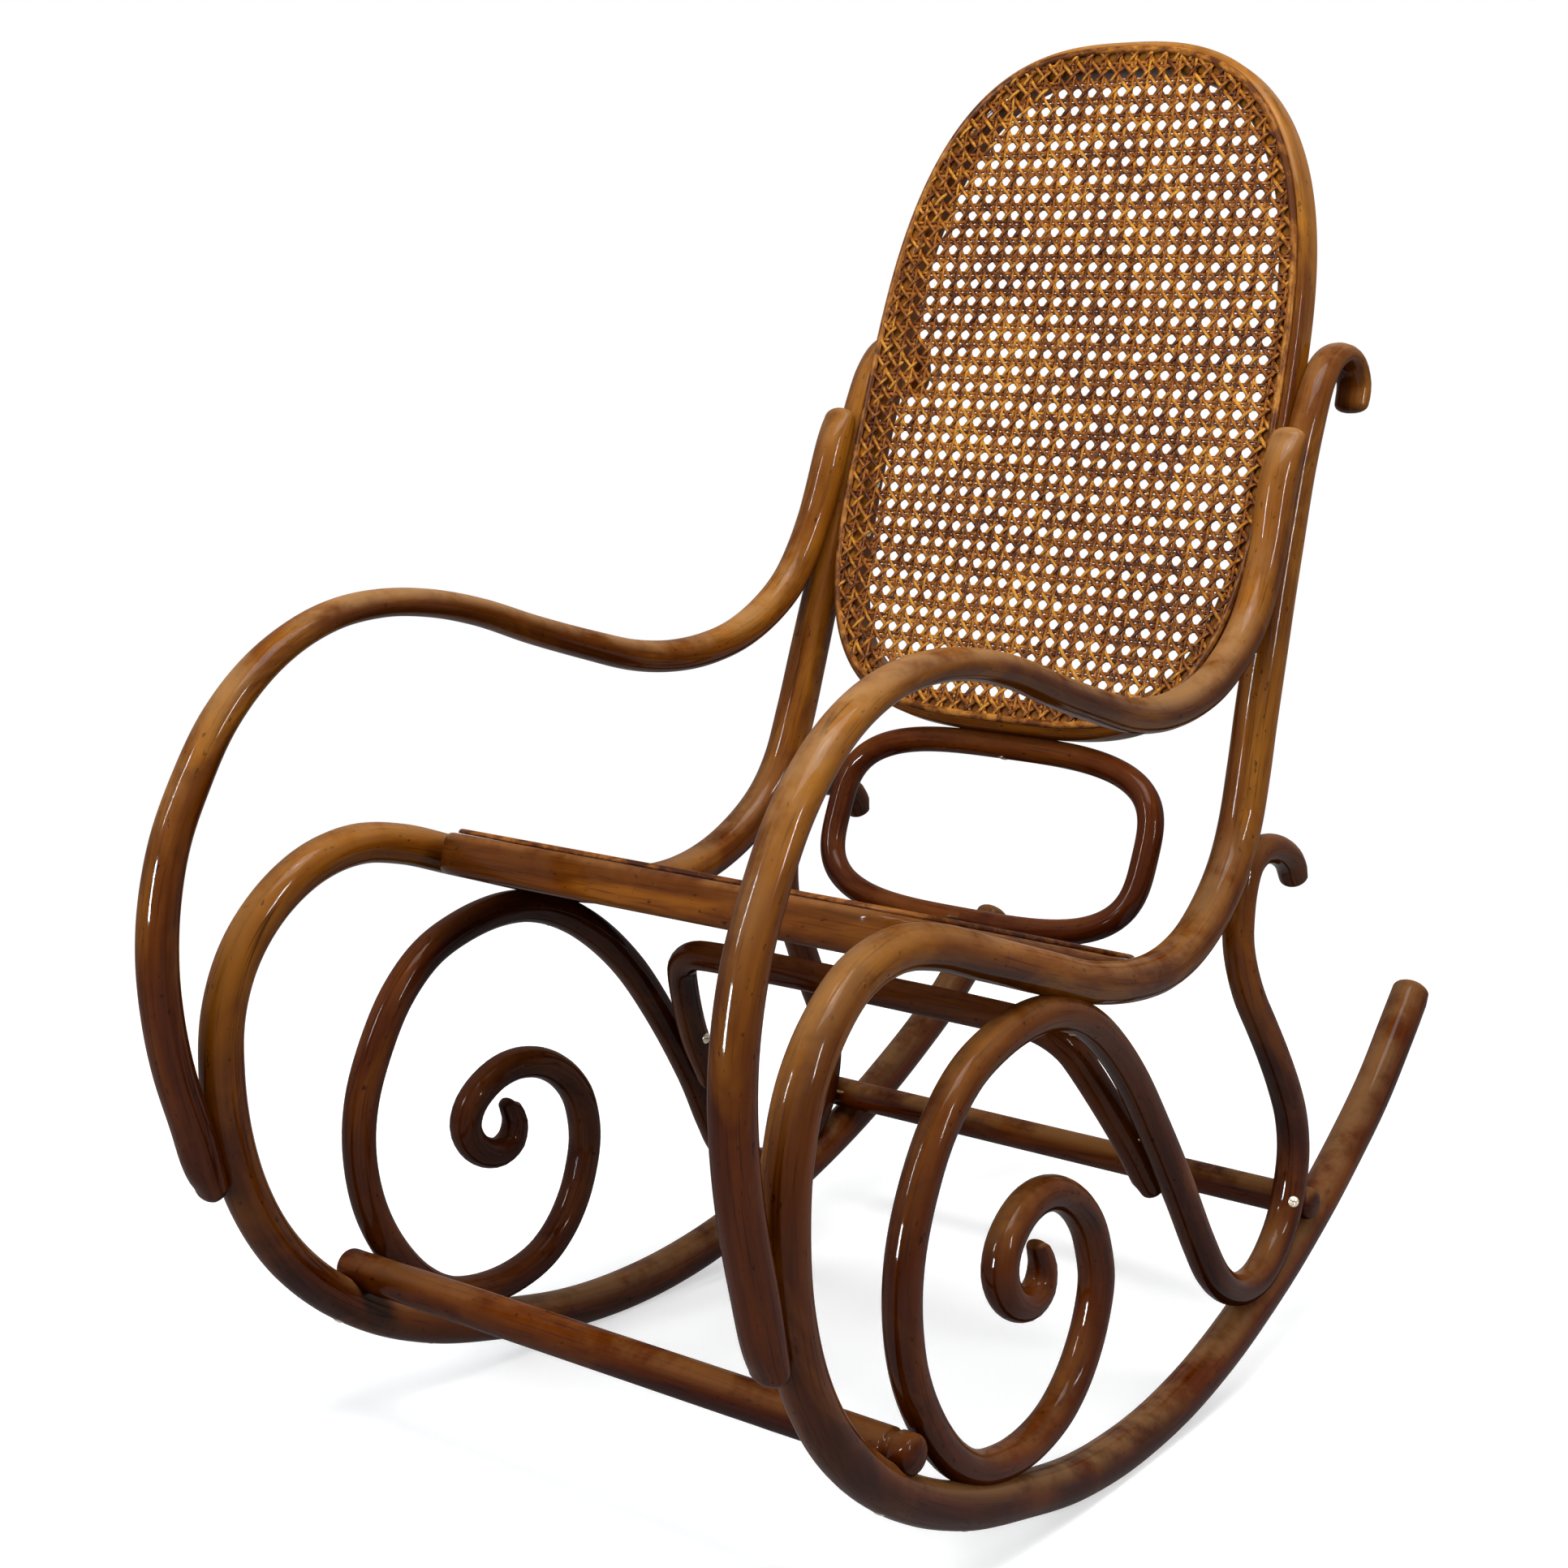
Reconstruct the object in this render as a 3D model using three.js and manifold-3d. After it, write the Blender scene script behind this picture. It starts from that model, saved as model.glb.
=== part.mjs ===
// Bentwood rocking chair with a caned seat and a caned back.
// Millimetres. +Z is up, +Y points to the chair's back, +X to the sitter's left.
// While it is drawn, y is measured from the point where the rockers meet the floor.
import * as THREE from 'three';
import { mergeVertices } from 'three/addons/utils/BufferGeometryUtils.js';
import Module from 'manifold-3d';

const wasm = await Module();
wasm.setup();

// Span of the side frames' outlines
const chairLength = 1000;
const chairHeight = 1050;
const sideHalfWidth = 244;
const narrowingToRear = 0.041;
const narrowingUpwards = 0.026;

// Bent rods, turned from beech
const sideRodDiameter = 32;
const armDiameter = 29;
const scrollDiameter = 26;
const ovalDiameter = 21;
const braceDiameter = 24;
const frontStretcherDiameter = 29;
const rearStretcherDiameter = 26;

// Joints between pieces
const clearance = 0.3;
const letIn = 1.5;
const notchDepth = 5;
const rockerWear = 0.9;

// Seat frame: a flat bentwood ring that slopes with the side rods
const seatDepth = 398;
const seatRailWidth = 38;
const seatRailThickness = 31;
const seatEdgeRounding = 6;
const seatFrontCornerRadius = 50;
const seatRearCornerRadius = 120;

// Back frame: a tall bentwood ring that leans and bows backwards between the posts
const backHeight = 551;
const backDrop = 37;
const backForwardLow = 7;
const backForwardHigh = 1;
const backLetIn = 6;
const backBow = 10;
const backTaperShare = 0.04;
const backRailWidth = 25;
const backRailDepth = 28;
const backEdgeRounding = 7;
const backTopSquareness = 2.75;
const backBottomSquareness = 3.6;

// Oval ring between the seat and the back
const ovalHalfWidth = 159;
const ovalCornerSquareness = 3.3;
const ovalSetBack = 9;
const ovalOverhang = 3;
const ovalSink = 3;
const ovalRise = 2;

// Cane: two flat nets, each with a binding strip round its edge
const netThickness = 2.2;
const netPitch = 33;
const netGap = 23;
const bindingWidth = 6;
const bindingThickness = 1.6;
const seatBindingInset = 12;
const backBindingInset = 9;

// Brace: an inverted U under the seat, its feet on the inner sides of the scrolls
const braceRise = 138;
const braceForward = 84;
const braceSplay = 33;
const kneeRise = 53;
const kneeForward = 34;
const kneeSplay = 7;
const braceBendRadius = 29;

// Stretchers
const frontStretcherSetIn = 7.5;
const frontStretcherWaist = 28;
const capLength = 13;
const capGrooveDepth = 3;
const capGrooveWidth = 3.5;
const rearStretcherOverhang = 2;

// Wood screws
const screwHeadDiameter = 9;
const screwHeadDepth = 3;
const screwHeadDome = 1.2;
const screwShankDiameter = 4;
const screwShankLength = 34;
const screwTipLength = 5;
const screwSides = 6;
const rearScrewSlant = 26;

// Facets
const rodSides = 8;
const turnPerStep = THREE.MathUtils.degToRad(18);
const longestStep = 52;
const capSteps = 2;
const capDepthShare = 0.5;
const loopStations = 40;
const cornerSteps = 4;
const overrun = 20;

const up = new THREE.Vector3(0, 0, 1);
const left = new THREE.Vector3(1, 0, 0);
const sideNormal = new THREE.Vector3(1, narrowingToRear, narrowingUpwards).normalize();

// Side rod: from the rocker's rear end, round the front, along the seat and up the post.
// Each point is y, z and how far the rod stands outboard, as shares of the chair's length, height and
// length, then the rod's girth as a share of its diameter, and where it is flattened, its flatness.
const sideRodShares = [
  [0.5179, 0.2296, 0.0025, 1.02], [0.487, 0.2029, 0.0023, 1.03], [0.44, 0.1648, 0.002, 1.03],
  [0.38, 0.1276, 0.0015, 1.03], [0.31, 0.0914, 0.0012, 1.03], [0.23, 0.059, 0.001, 1.03],
  [0.15, 0.0343, 0.0012, 1.03], [0.075, 0.02, 0.0012, 1.03], [0, 0.0155, 0.001, 1.03],
  [-0.075, 0.0206, 0.0008, 1.03], [-0.145, 0.0348, 0, 1.03], [-0.215, 0.0538, -0.0013, 1.03],
  [-0.275, 0.08, -0.003, 1.02], [-0.326, 0.1133, -0.0042, 1.01], [-0.367, 0.1538, -0.0047, 1],
  [-0.394, 0.1976, -0.0043, 1], [-0.409, 0.2429, -0.0033, 1], [-0.4145, 0.2905, -0.0017, 0.99],
  [-0.411, 0.3352, -0.0005, 0.98], [-0.396, 0.3733, -0.0009, 0.97], [-0.369, 0.4038, -0.0018, 0.96],
  [-0.333, 0.4248, -0.003, 0.95], [-0.29, 0.4319, -0.0023, 0.95], [-0.245, 0.4248, -0.0012, 0.95],
  [-0.19, 0.4067, 0.0003, 0.95], [-0.12, 0.3833, 0.0014, 0.95], [-0.06, 0.3638, 0.0025, 0.95],
  [0, 0.3514, 0.0025, 0.96], [0.05, 0.3481, 0.0016, 0.97], [0.095, 0.3552, 0.0005, 0.99],
  [0.135, 0.3724, -0.0012, 1.01], [0.168, 0.3971, -0.0028, 1.03], [0.189, 0.4257, -0.0037, 1.05],
  [0.204, 0.4638, -0.004, 1.06], [0.217, 0.5048, -0.0043, 1.05], [0.236, 0.5619, -0.0039, 1.02],
  [0.259, 0.6267, -0.003, 0.96], [0.277, 0.681, -0.0008, 0.89], [0.291, 0.7143, 0.001, 0.86, 0.94],
  [0.304, 0.7381, 0.002, 0.85, 0.83], [0.321, 0.7543, 0.0025, 0.86, 0.72], [0.343, 0.76, 0.0028, 0.87, 0.66],
  [0.362, 0.7533, 0.003, 0.88, 0.64], [0.371, 0.7371, 0.0033, 0.89, 0.64],
  [0.3665, 0.7219, 0.0037, 0.89, 0.66],
];
const frontContactShare = 15.6;
const frontContactEndShare = 16.4;
const postContactShare = 36.5;
const postContactEndShare = 37.3;
const seatFrontShare = 23;
const seatSupportShare = 27;
const backLowShare = 34;
const backHighShare = 36.5;
const frontStretcherShare = 12.6;
const frontTaperShare = 0.55;

// Arm, from its lower end up and back; the last value is its flatness in the side frame's plane.
const armShares = [
  [-0.455, 0.3057, -0.0007, 1, 1], [-0.462, 0.3429, 0, 1, 1],
  [-0.4645, 0.381, 0.0006, 1, 1], [-0.461, 0.419, 0.0012, 1, 0.98], [-0.45, 0.459, 0.002, 1, 0.96],
  [-0.432, 0.4943, 0.0026, 1, 0.93], [-0.407, 0.5314, 0.0032, 1, 0.88], [-0.375, 0.561, 0.0036, 1, 0.82],
  [-0.34, 0.581, 0.004, 1, 0.76], [-0.3, 0.5933, 0.005, 1, 0.73], [-0.255, 0.5967, 0.006, 1, 0.72],
  [-0.209, 0.5924, 0.0056, 1, 0.73], [-0.16, 0.5814, 0.0052, 1, 0.75], [-0.104, 0.5629, 0.004, 1, 0.78],
  [-0.046, 0.5457, 0.0019, 1, 0.82], [0.005, 0.5324, 0.0003, 1, 0.86], [0.05, 0.5271, -0.0004, 1, 0.9],
  [0.092, 0.5286, -0.001, 1, 0.94], [0.13, 0.5362, -0.001, 1, 0.96], [0.165, 0.5514, -0.001, 1, 0.98],
  [0.193, 0.5714, -0.001, 1, 1], [0.212, 0.5952, -0.001, 1, 1], [0.2275, 0.6238, -0.001, 0.98, 1],
];
const armEndGirth = 0.9;
const armPostGirth = 0.96;

// Scroll, from its inner end round the loop under the seat and up the riser to the curl behind the post.
const scrollShares = [
  [-0.131, 0.2038, 0.0045, 0.84], [-0.124, 0.188, 0.0043, 0.88], [-0.128, 0.174, 0.0042, 0.92],
  [-0.141, 0.168, 0.004, 0.94], [-0.157, 0.1714, 0.0038, 0.96], [-0.171, 0.1819, 0.0036, 0.97],
  [-0.178, 0.1971, 0.0033, 0.98], [-0.173, 0.2133, 0.0027, 0.98], [-0.153, 0.2286, 0.0019, 0.98],
  [-0.128, 0.2343, 0.0014, 0.98], [-0.1, 0.2295, 0.001, 0.98], [-0.075, 0.2152, 0.0014, 0.99],
  [-0.057, 0.1952, 0.0019, 1], [-0.049, 0.1752, 0.0024, 1], [-0.046, 0.1552, 0.003, 1],
  [-0.05, 0.1343, 0.0024, 1], [-0.06, 0.1114, 0.0012, 1], [-0.077, 0.09, 0, 1],
  [-0.1, 0.0743, -0.001, 1], [-0.133, 0.0657, -0.0016, 1], [-0.167, 0.0657, -0.0021, 1],
  [-0.203, 0.0743, -0.0025, 1], [-0.236, 0.0962, -0.0024, 1], [-0.265, 0.1314, -0.0022, 1],
  [-0.283, 0.1686, -0.002, 1], [-0.29, 0.2095, -0.0013, 1], [-0.286, 0.2448, -0.0007, 1],
  [-0.271, 0.281, 0, 1], [-0.249, 0.3134, 0.0012, 1], [-0.218, 0.3386, 0.0024, 1],
  [-0.18, 0.3519, 0.0033, 1], [-0.14, 0.3569, 0.0042, 1], [-0.105, 0.3533, 0.0046, 1],
  [-0.068, 0.34, 0.0044, 1], [-0.033, 0.3181, 0.003, 1], [0.005, 0.2838, 0.0018, 1],
  [0.046, 0.2324, 0.0013, 1], [0.084, 0.1771, 0.0022, 1], [0.11, 0.1333, 0.0045, 1],
  [0.131, 0.1038, 0.006, 1], [0.163, 0.082, 0.0042, 1], [0.192, 0.074, 0.0038, 1],
  [0.219, 0.0769, 0.0038, 1], [0.244, 0.0912, 0.0038, 1], [0.26, 0.1102, 0.0047, 1],
  [0.269, 0.1339, 0.0057, 1], [0.272, 0.1604, 0.0066, 1], [0.267, 0.1876, 0.0066, 1],
  [0.253, 0.2149, 0.0066, 1], [0.235, 0.2451, 0.0048, 0.99], [0.219, 0.271, 0.0019, 0.98],
  [0.203, 0.2952, -0.0004, 0.97], [0.195, 0.3176, -0.0032, 0.96], [0.192, 0.3378, -0.0051, 0.95],
  [0.194, 0.3567, -0.006, 0.95], [0.199, 0.377, -0.006, 0.94], [0.209, 0.3925, -0.006, 0.93],
  [0.225, 0.3993, -0.0059, 0.92], [0.243, 0.3993, -0.0059, 0.92], [0.265, 0.3935, -0.0059, 0.92],
  [0.283, 0.3829, -0.0059, 0.92], [0.292, 0.3702, -0.0059, 0.92],
];

// Screw places, as places along the pieces' own point lists
const loopScrewShare = 32.5;
const railScrewShare = 25.4;
const frontLoopScrewShare = 21;
const rockerFrontScrewShare = 11;
const rearLoopScrewShare = 42.3;
const rockerRearScrewShare = 5.5;
const riserCrossingShare = 44.5;
const curlScrewShare = 55.3;
const curlRailShare = 31.3;
const braceFootShare = 37;
const footScrewShare = 0.92;
const armFrontScrewShare = 16.3;
const armTopScrewShare = 36.9;
const seatScrewFrontShare = 0.25;
const seatScrewRearShare = 0.6;
const backScrewLowShare = 35.75;
const backScrewHighShare = 36.4;

// Materials
const outerWood = { color: 0x8a4d1c, roughness: 0.32, metalness: 0 };
const innerWood = { color: 0x5e2a10, roughness: 0.3, metalness: 0 };
const cane = { color: 0xb0701f, roughness: 0.55, metalness: 0 };
const steel = { color: 0xb9a98a, roughness: 0.35, metalness: 1 };

const chair = new THREE.Group();

function addPiece(name, geometry, finish) {
  const piece = new THREE.Mesh(geometry, new THREE.MeshStandardMaterial(finish));
  piece.name = name;
  chair.add(piece);
}

// Closed skins and cuts
function enclosedVolume(geometry) {
  const place = geometry.attributes.position;
  const corners = [new THREE.Vector3(), new THREE.Vector3(), new THREE.Vector3()];
  let volume = 0;
  for (let i = 0; i < geometry.index.count; i += 3) {
    corners.forEach((corner, k) => corner.fromBufferAttribute(place, geometry.index.getX(i + k)));
    volume += corners[0].dot(corners[1].clone().cross(corners[2])) / 6;
  }
  return volume;
}

function facingOut(geometry) {
  if (enclosedVolume(geometry) < 0) {
    const index = Array.from(geometry.index.array);
    for (let i = 0; i < index.length; i += 3) {
      [index[i], index[i + 1]] = [index[i + 1], index[i]];
    }
    geometry.setIndex(index);
  }
  return geometry;
}

// Rings of equal count joined into one skin; two poles close it, and without them it is a loop.
function skin(rings, poles) {
  const sides = rings[0].length;
  const points = rings.flat();
  const index = [];
  const strips = poles ? rings.length - 1 : rings.length;
  for (let r = 0; r < strips; r += 1) {
    const next = (r + 1) % rings.length;
    for (let k = 0; k < sides; k += 1) {
      const turn = (k + 1) % sides;
      const [a, b] = [r * sides + k, r * sides + turn];
      const [c, d] = [next * sides + turn, next * sides + k];
      index.push(a, b, c, a, c, d);
    }
  }
  if (poles) {
    const first = points.length;
    const last = (rings.length - 1) * sides;
    points.push(poles[0], poles[1]);
    for (let k = 0; k < sides; k += 1) {
      const turn = (k + 1) % sides;
      index.push(first, turn, k, first + 1, last + k, last + turn);
    }
  }
  const geometry = new THREE.BufferGeometry().setFromPoints(points);
  geometry.setIndex(index);
  return facingOut(geometry);
}

function toSolid(geometry) {
  const vertProperties = new Float32Array(geometry.attributes.position.array);
  const triVerts = new Uint32Array(geometry.index.array);
  return new wasm.Manifold(new wasm.Mesh({ numProp: 3, vertProperties, triVerts }));
}

function fromSolid(solid) {
  const mesh = solid.getMesh();
  const geometry = new THREE.BufferGeometry();
  geometry.setAttribute('position', new THREE.BufferAttribute(new Float32Array(mesh.vertProperties), 3));
  geometry.setIndex(Array.from(mesh.triVerts));
  return geometry;
}

function cut(geometry, cutters) {
  return fromSolid(cutters.reduce((solid, cutter) => solid.subtract(toSolid(cutter)), toSolid(geometry)));
}

function mirrored(geometry) {
  const copy = geometry.clone();
  copy.scale(-1, 1, 1);
  return facingOut(copy);
}

const bothSides = (geometry) => [geometry, mirrored(geometry)];

// Rods
function sidePlace(y, z, outboard) {
  return new THREE.Vector3(sideHalfWidth - narrowingToRear * y - narrowingUpwards * z + outboard, y, z);
}

// A place on a side frame's point list: its point, and its girth and flatness
function readShares(row) {
  const [y, z, outboard, girth, flatness = 1] = row;
  return {
    point: sidePlace(y * chairLength, z * chairHeight, outboard * chairLength), girth, flatness,
  };
}

class RodPath {
  constructor(places, normal, diameter) {
    this.curve = new THREE.CatmullRomCurve3(places.map((place) => place.point));
    this.places = places;
    this.normal = normal;
    this.diameter = diameter;
  }

  at(share) {
    const last = this.places.length - 1;
    const low = Math.min(Math.floor(share), last - 1);
    const blend = share - low;
    const mix = (key) => THREE.MathUtils.lerp(this.places[low][key], this.places[low + 1][key], blend);
    const point = this.curve.getPoint(share / last);
    const along = this.curve.getTangent(share / last);
    const across = this.normal.clone().addScaledVector(along, -this.normal.dot(along)).normalize();
    const inward = new THREE.Vector3().crossVectors(along, across);
    const radius = this.diameter / 2 * mix('girth');
    return { point, along, across, inward, radius, flatness: mix('flatness') };
  }

  // Stations close enough for the bends, and not too far apart on the straights
  stations() {
    const shares = [0];
    for (let i = 0; i < this.places.length - 1; i += 1) {
      const turn = this.at(i).along.angleTo(this.at(i + 1).along);
      const length = this.places[i].point.distanceTo(this.places[i + 1].point);
      const steps = Math.max(Math.ceil(turn / turnPerStep), Math.ceil(length / longestStep), 1);
      for (let k = 1; k <= steps; k += 1) {
        shares.push(i + k / steps);
      }
    }
    return shares;
  }
}

function rodRing(place, grow, shrinkShare, shift) {
  const ring = [];
  const wide = (place.radius + grow) * shrinkShare;
  const deep = (place.radius * place.flatness + grow) * shrinkShare;
  for (let k = 0; k < rodSides; k += 1) {
    const angle = (k + 0.5) / rodSides * 2 * Math.PI;
    const point = place.point.clone().addScaledVector(place.along, shift);
    point.addScaledVector(place.inward, Math.cos(angle) * deep);
    point.addScaledVector(place.across, Math.sin(angle) * wide);
    ring.push(point);
  }
  return ring;
}

// A rod along its path, with rounded ends; grow gives the shape that a neighbour is cut by.
function rod(path, grow = 0) {
  const places = path.stations().map((share) => path.at(share));
  const rings = places.map((place) => rodRing(place, grow, 1, 0));
  const [start, end] = [places[0], places[places.length - 1]];
  for (let k = 1; k <= capSteps; k += 1) {
    const angle = k / (capSteps + 1) * Math.PI / 2;
    const capDepth = Math.sin(angle) * capDepthShare * (start.radius + grow);
    const endDepth = Math.sin(angle) * capDepthShare * (end.radius + grow);
    rings.unshift(rodRing(start, grow, Math.cos(angle), -capDepth));
    rings.push(rodRing(end, grow, Math.cos(angle), endDepth));
  }
  return skin(rings, [
    start.point.clone().addScaledVector(start.along, -capDepthShare * (start.radius + grow)),
    end.point.clone().addScaledVector(end.along, capDepthShare * (end.radius + grow)),
  ]);
}

// A point beside a rod, on the given side of it, for a rod that lies against it
function beside(path, share, direction, diameter, depth) {
  const place = path.at(share);
  const distance = place.radius * place.flatness + diameter / 2 - depth;
  return place.point.clone().addScaledVector(place.inward, direction * distance);
}

// Half the width of a piece that is let into both side frames' rods at this place
function halfWidthBetween(path, share, depth) {
  const place = path.at(share);
  return place.point.x - place.radius + depth;
}

// Rings that follow a closed loop: stations hold a point and its outward and normal directions
function loopSkin(stations, section) {
  return skin(stations.map(({ point, outward, normal }) => section.map(([u, v]) => (
    point.clone().addScaledVector(outward, u).addScaledVector(normal, v)))));
}

function roundedBox(width, depth, rounding, grow = 0) {
  const [w, d] = [width / 2 + grow, depth / 2 + grow];
  const bite = rounding * (1 - Math.SQRT1_2);
  const quarter = [[w - rounding, d], [w - bite, d - bite], [w, d - rounding]];
  const flip = (points, su, sv) => points.map(([u, v]) => [u * su, v * sv]);
  return [
    ...quarter, ...flip(quarter, 1, -1).reverse(),
    ...flip(quarter, -1, -1), ...flip(quarter, -1, 1).reverse(),
  ];
}

function roundSection(diameter, grow = 0) {
  const section = [];
  for (let k = 0; k < rodSides; k += 1) {
    const angle = (k + 0.5) / rodSides * 2 * Math.PI;
    section.push([Math.cos(angle) * (diameter / 2 + grow), Math.sin(angle) * (diameter / 2 + grow)]);
  }
  return section;
}

// Outward directions of a flat loop of 2D points that runs anticlockwise
function outwardOf(points, i) {
  const before = points[(i + points.length - 1) % points.length];
  const after = points[(i + 1) % points.length];
  const run = after.clone().sub(before).normalize();
  return new THREE.Vector2(run.y, -run.x);
}

// Screws
function screwGeometry(head, direction, grow = 0) {
  const axis = direction.clone().normalize();
  const helper = Math.abs(axis.z) < Math.SQRT1_2 ? up : left;
  const u = new THREE.Vector3().crossVectors(axis, helper).normalize();
  const v = new THREE.Vector3().crossVectors(axis, u);
  const shank = screwShankDiameter / 2 + grow;
  const profile = [
    [screwHeadDiameter / 2 + grow, 0],
    [shank, screwHeadDepth],
    [shank, screwShankLength + grow],
  ];
  const rings = profile.map(([radius, depth]) => {
    const ring = [];
    for (let k = 0; k < screwSides; k += 1) {
      const angle = k / screwSides * 2 * Math.PI;
      const point = head.clone().addScaledVector(axis, depth);
      point.addScaledVector(u, Math.cos(angle) * radius);
      ring.push(point.addScaledVector(v, Math.sin(angle) * radius));
    }
    return ring;
  });
  const top = grow > 0 ? overrun : screwHeadDome;
  if (grow > 0) {
    rings.unshift(rings[0].map((point) => point.clone().addScaledVector(axis, -screwHeadDome)));
  }
  return skin(rings, [
    head.clone().addScaledVector(axis, -top),
    head.clone().addScaledVector(axis, screwShankLength + screwTipLength + grow),
  ]);
}

// Paths of the side frame on the sitter's left
const railPath = new RodPath(sideRodShares.map(readShares), sideNormal, sideRodDiameter);
const armPlaces = armShares.map(readShares);
const armAgainst = (share, girth) => ({
  point: beside(railPath, share, -1, armDiameter * girth, letIn), girth, flatness: 1,
});
const armPath = new RodPath([
  armAgainst(frontContactShare, armEndGirth), armAgainst(frontContactEndShare, 1),
  ...armPlaces,
  armAgainst(postContactShare, armPostGirth), armAgainst(postContactEndShare, armEndGirth),
], sideNormal, armDiameter);
const scrollPath = new RodPath(scrollShares.map(readShares), sideNormal, scrollDiameter);

// The seat's plane: s runs backwards along it and n stands on it
const seatFront = railPath.at(seatFrontShare).point.setX(0);
const seatSupport = railPath.at(seatSupportShare).point.setX(0);
const seatAlong = seatSupport.clone().sub(seatFront).normalize();
const seatNormal = new THREE.Vector3().crossVectors(left, seatAlong);
const seatOrigin = seatFront.clone().addScaledVector(seatNormal, seatRailThickness / 2);

function seatPlace(x, s, n) {
  return new THREE.Vector3(x, 0, 0).add(seatOrigin)
    .addScaledVector(seatAlong, s).addScaledVector(seatNormal, n);
}

const seatHalfFront = halfWidthBetween(railPath, seatFrontShare, letIn);
const seatHalfSupport = halfWidthBetween(railPath, seatSupportShare, letIn);

function seatHalfWidth(s) {
  return THREE.MathUtils.lerp(seatHalfFront, seatHalfSupport, s / seatFront.distanceTo(seatSupport));
}

// Loop with rounded corners through the seat's four corners, drawn in from the outer edge
function seatLoop(inset) {
  const half = seatHalfWidth(seatDepth);
  const corners = [
    [seatHalfFront, 0, seatFrontCornerRadius], [half, seatDepth, seatRearCornerRadius],
    [-half, seatDepth, seatRearCornerRadius], [-seatHalfFront, 0, seatFrontCornerRadius],
  ];
  const points = [];
  corners.forEach(([x, s, radius], c) => {
    const reach = radius - inset;
    const centre = new THREE.Vector2(x - Math.sign(x) * radius, s === 0 ? radius : s - radius);
    const from = (c - 1) * Math.PI / 2;
    for (let k = 0; k <= cornerSteps; k += 1) {
      const angle = from + k / cornerSteps * Math.PI / 2;
      points.push(new THREE.Vector2(centre.x + Math.cos(angle) * reach, centre.y + Math.sin(angle) * reach));
    }
  });
  return points;
}

function seatStations(inset, n) {
  const points = seatLoop(inset);
  return points.map((point, i) => {
    const out = outwardOf(points, i);
    return {
      point: seatPlace(point.x, point.y, n),
      outward: new THREE.Vector3(out.x, 0, 0).addScaledVector(seatAlong, out.y),
      normal: seatNormal,
    };
  });
}

// The back's curved surface runs past the posts at two places and bows backwards
const backLow = railPath.at(backLowShare).point.add(new THREE.Vector3(0, -backForwardLow, 0));
const backHigh = railPath.at(backHighShare).point.add(new THREE.Vector3(0, -backForwardHigh, 0));
const backSlope = (backHigh.y - backLow.y) / (backHigh.z - backLow.z);
const backHalfHeight = backHeight / 2;
const backBottomHeight = backLow.z - backDrop;
const backMiddleHeight = backBottomHeight + backHalfHeight;

function backLine(z) {
  const bow = backBow / backHalfHeight ** 2;
  return {
    y: backLow.y + backSlope * (z - backLow.z) - bow * (z - backLow.z) * (z - backHigh.z),
    lean: Math.atan(backSlope - bow * (2 * z - backLow.z - backHigh.z)),
  };
}

function backNormal(z) {
  const { lean } = backLine(z);
  return new THREE.Vector3(0, -Math.cos(lean), Math.sin(lean));
}

function backPlace(x, z, forward) {
  return new THREE.Vector3(x, backLine(z).y, z).addScaledVector(backNormal(z), forward);
}

// Half the frame's width at a height, as a share of its half width half way up
function backWidthShare(z) {
  const rise = (z - backMiddleHeight) / backHalfHeight;
  const power = rise > 0 ? backTopSquareness : backBottomSquareness;
  return (1 - backTaperShare * rise) * (1 - Math.abs(rise) ** power) ** (1 / power);
}

const backHalfWidth = halfWidthBetween(railPath, backHighShare, backLetIn) / backWidthShare(backHigh.z);

// Loop of the back frame, drawn in from the outer edge
function backLoop(inset) {
  const points = [];
  for (let i = 0; i < loopStations; i += 1) {
    const angle = i / loopStations * 2 * Math.PI;
    const [c, s] = [Math.cos(angle), Math.sin(angle)];
    const power = 2 / (s > 0 ? backTopSquareness : backBottomSquareness);
    const rise = Math.sign(s) * Math.abs(s) ** power * (backHalfHeight - inset);
    const half = (backHalfWidth - inset) * (1 - backTaperShare * rise / backHalfHeight);
    points.push(new THREE.Vector2(Math.sign(c) * Math.abs(c) ** power * half, rise + backMiddleHeight));
  }
  return points;
}

function backStations(inset, forward) {
  const points = backLoop(inset);
  return points.map((point, i) => {
    const out = outwardOf(points, i);
    const normal = backNormal(point.y);
    const upwards = new THREE.Vector3().crossVectors(left, normal).negate();
    return {
      point: backPlace(point.x, point.y, forward),
      outward: new THREE.Vector3(out.x, 0, 0).addScaledVector(upwards, out.y),
      normal,
    };
  });
}

// The oval's plane runs from the seat's rear edge to the back frame's lower edge
const ovalReach = ovalDiameter / 2 - letIn / 2;
const ovalFoot = seatPlace(0, seatDepth + ovalOverhang, ovalReach - ovalSink);
const ovalHead = backPlace(0, backBottomHeight - ovalReach + ovalRise, -ovalSetBack);
const ovalMiddle = ovalFoot.clone().add(ovalHead).divideScalar(2);
const ovalUp = ovalHead.clone().sub(ovalFoot).normalize();
const ovalHalfHeight = ovalHead.distanceTo(ovalFoot) / 2;
const ovalNormal = new THREE.Vector3().crossVectors(ovalUp, left).normalize();

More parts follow.
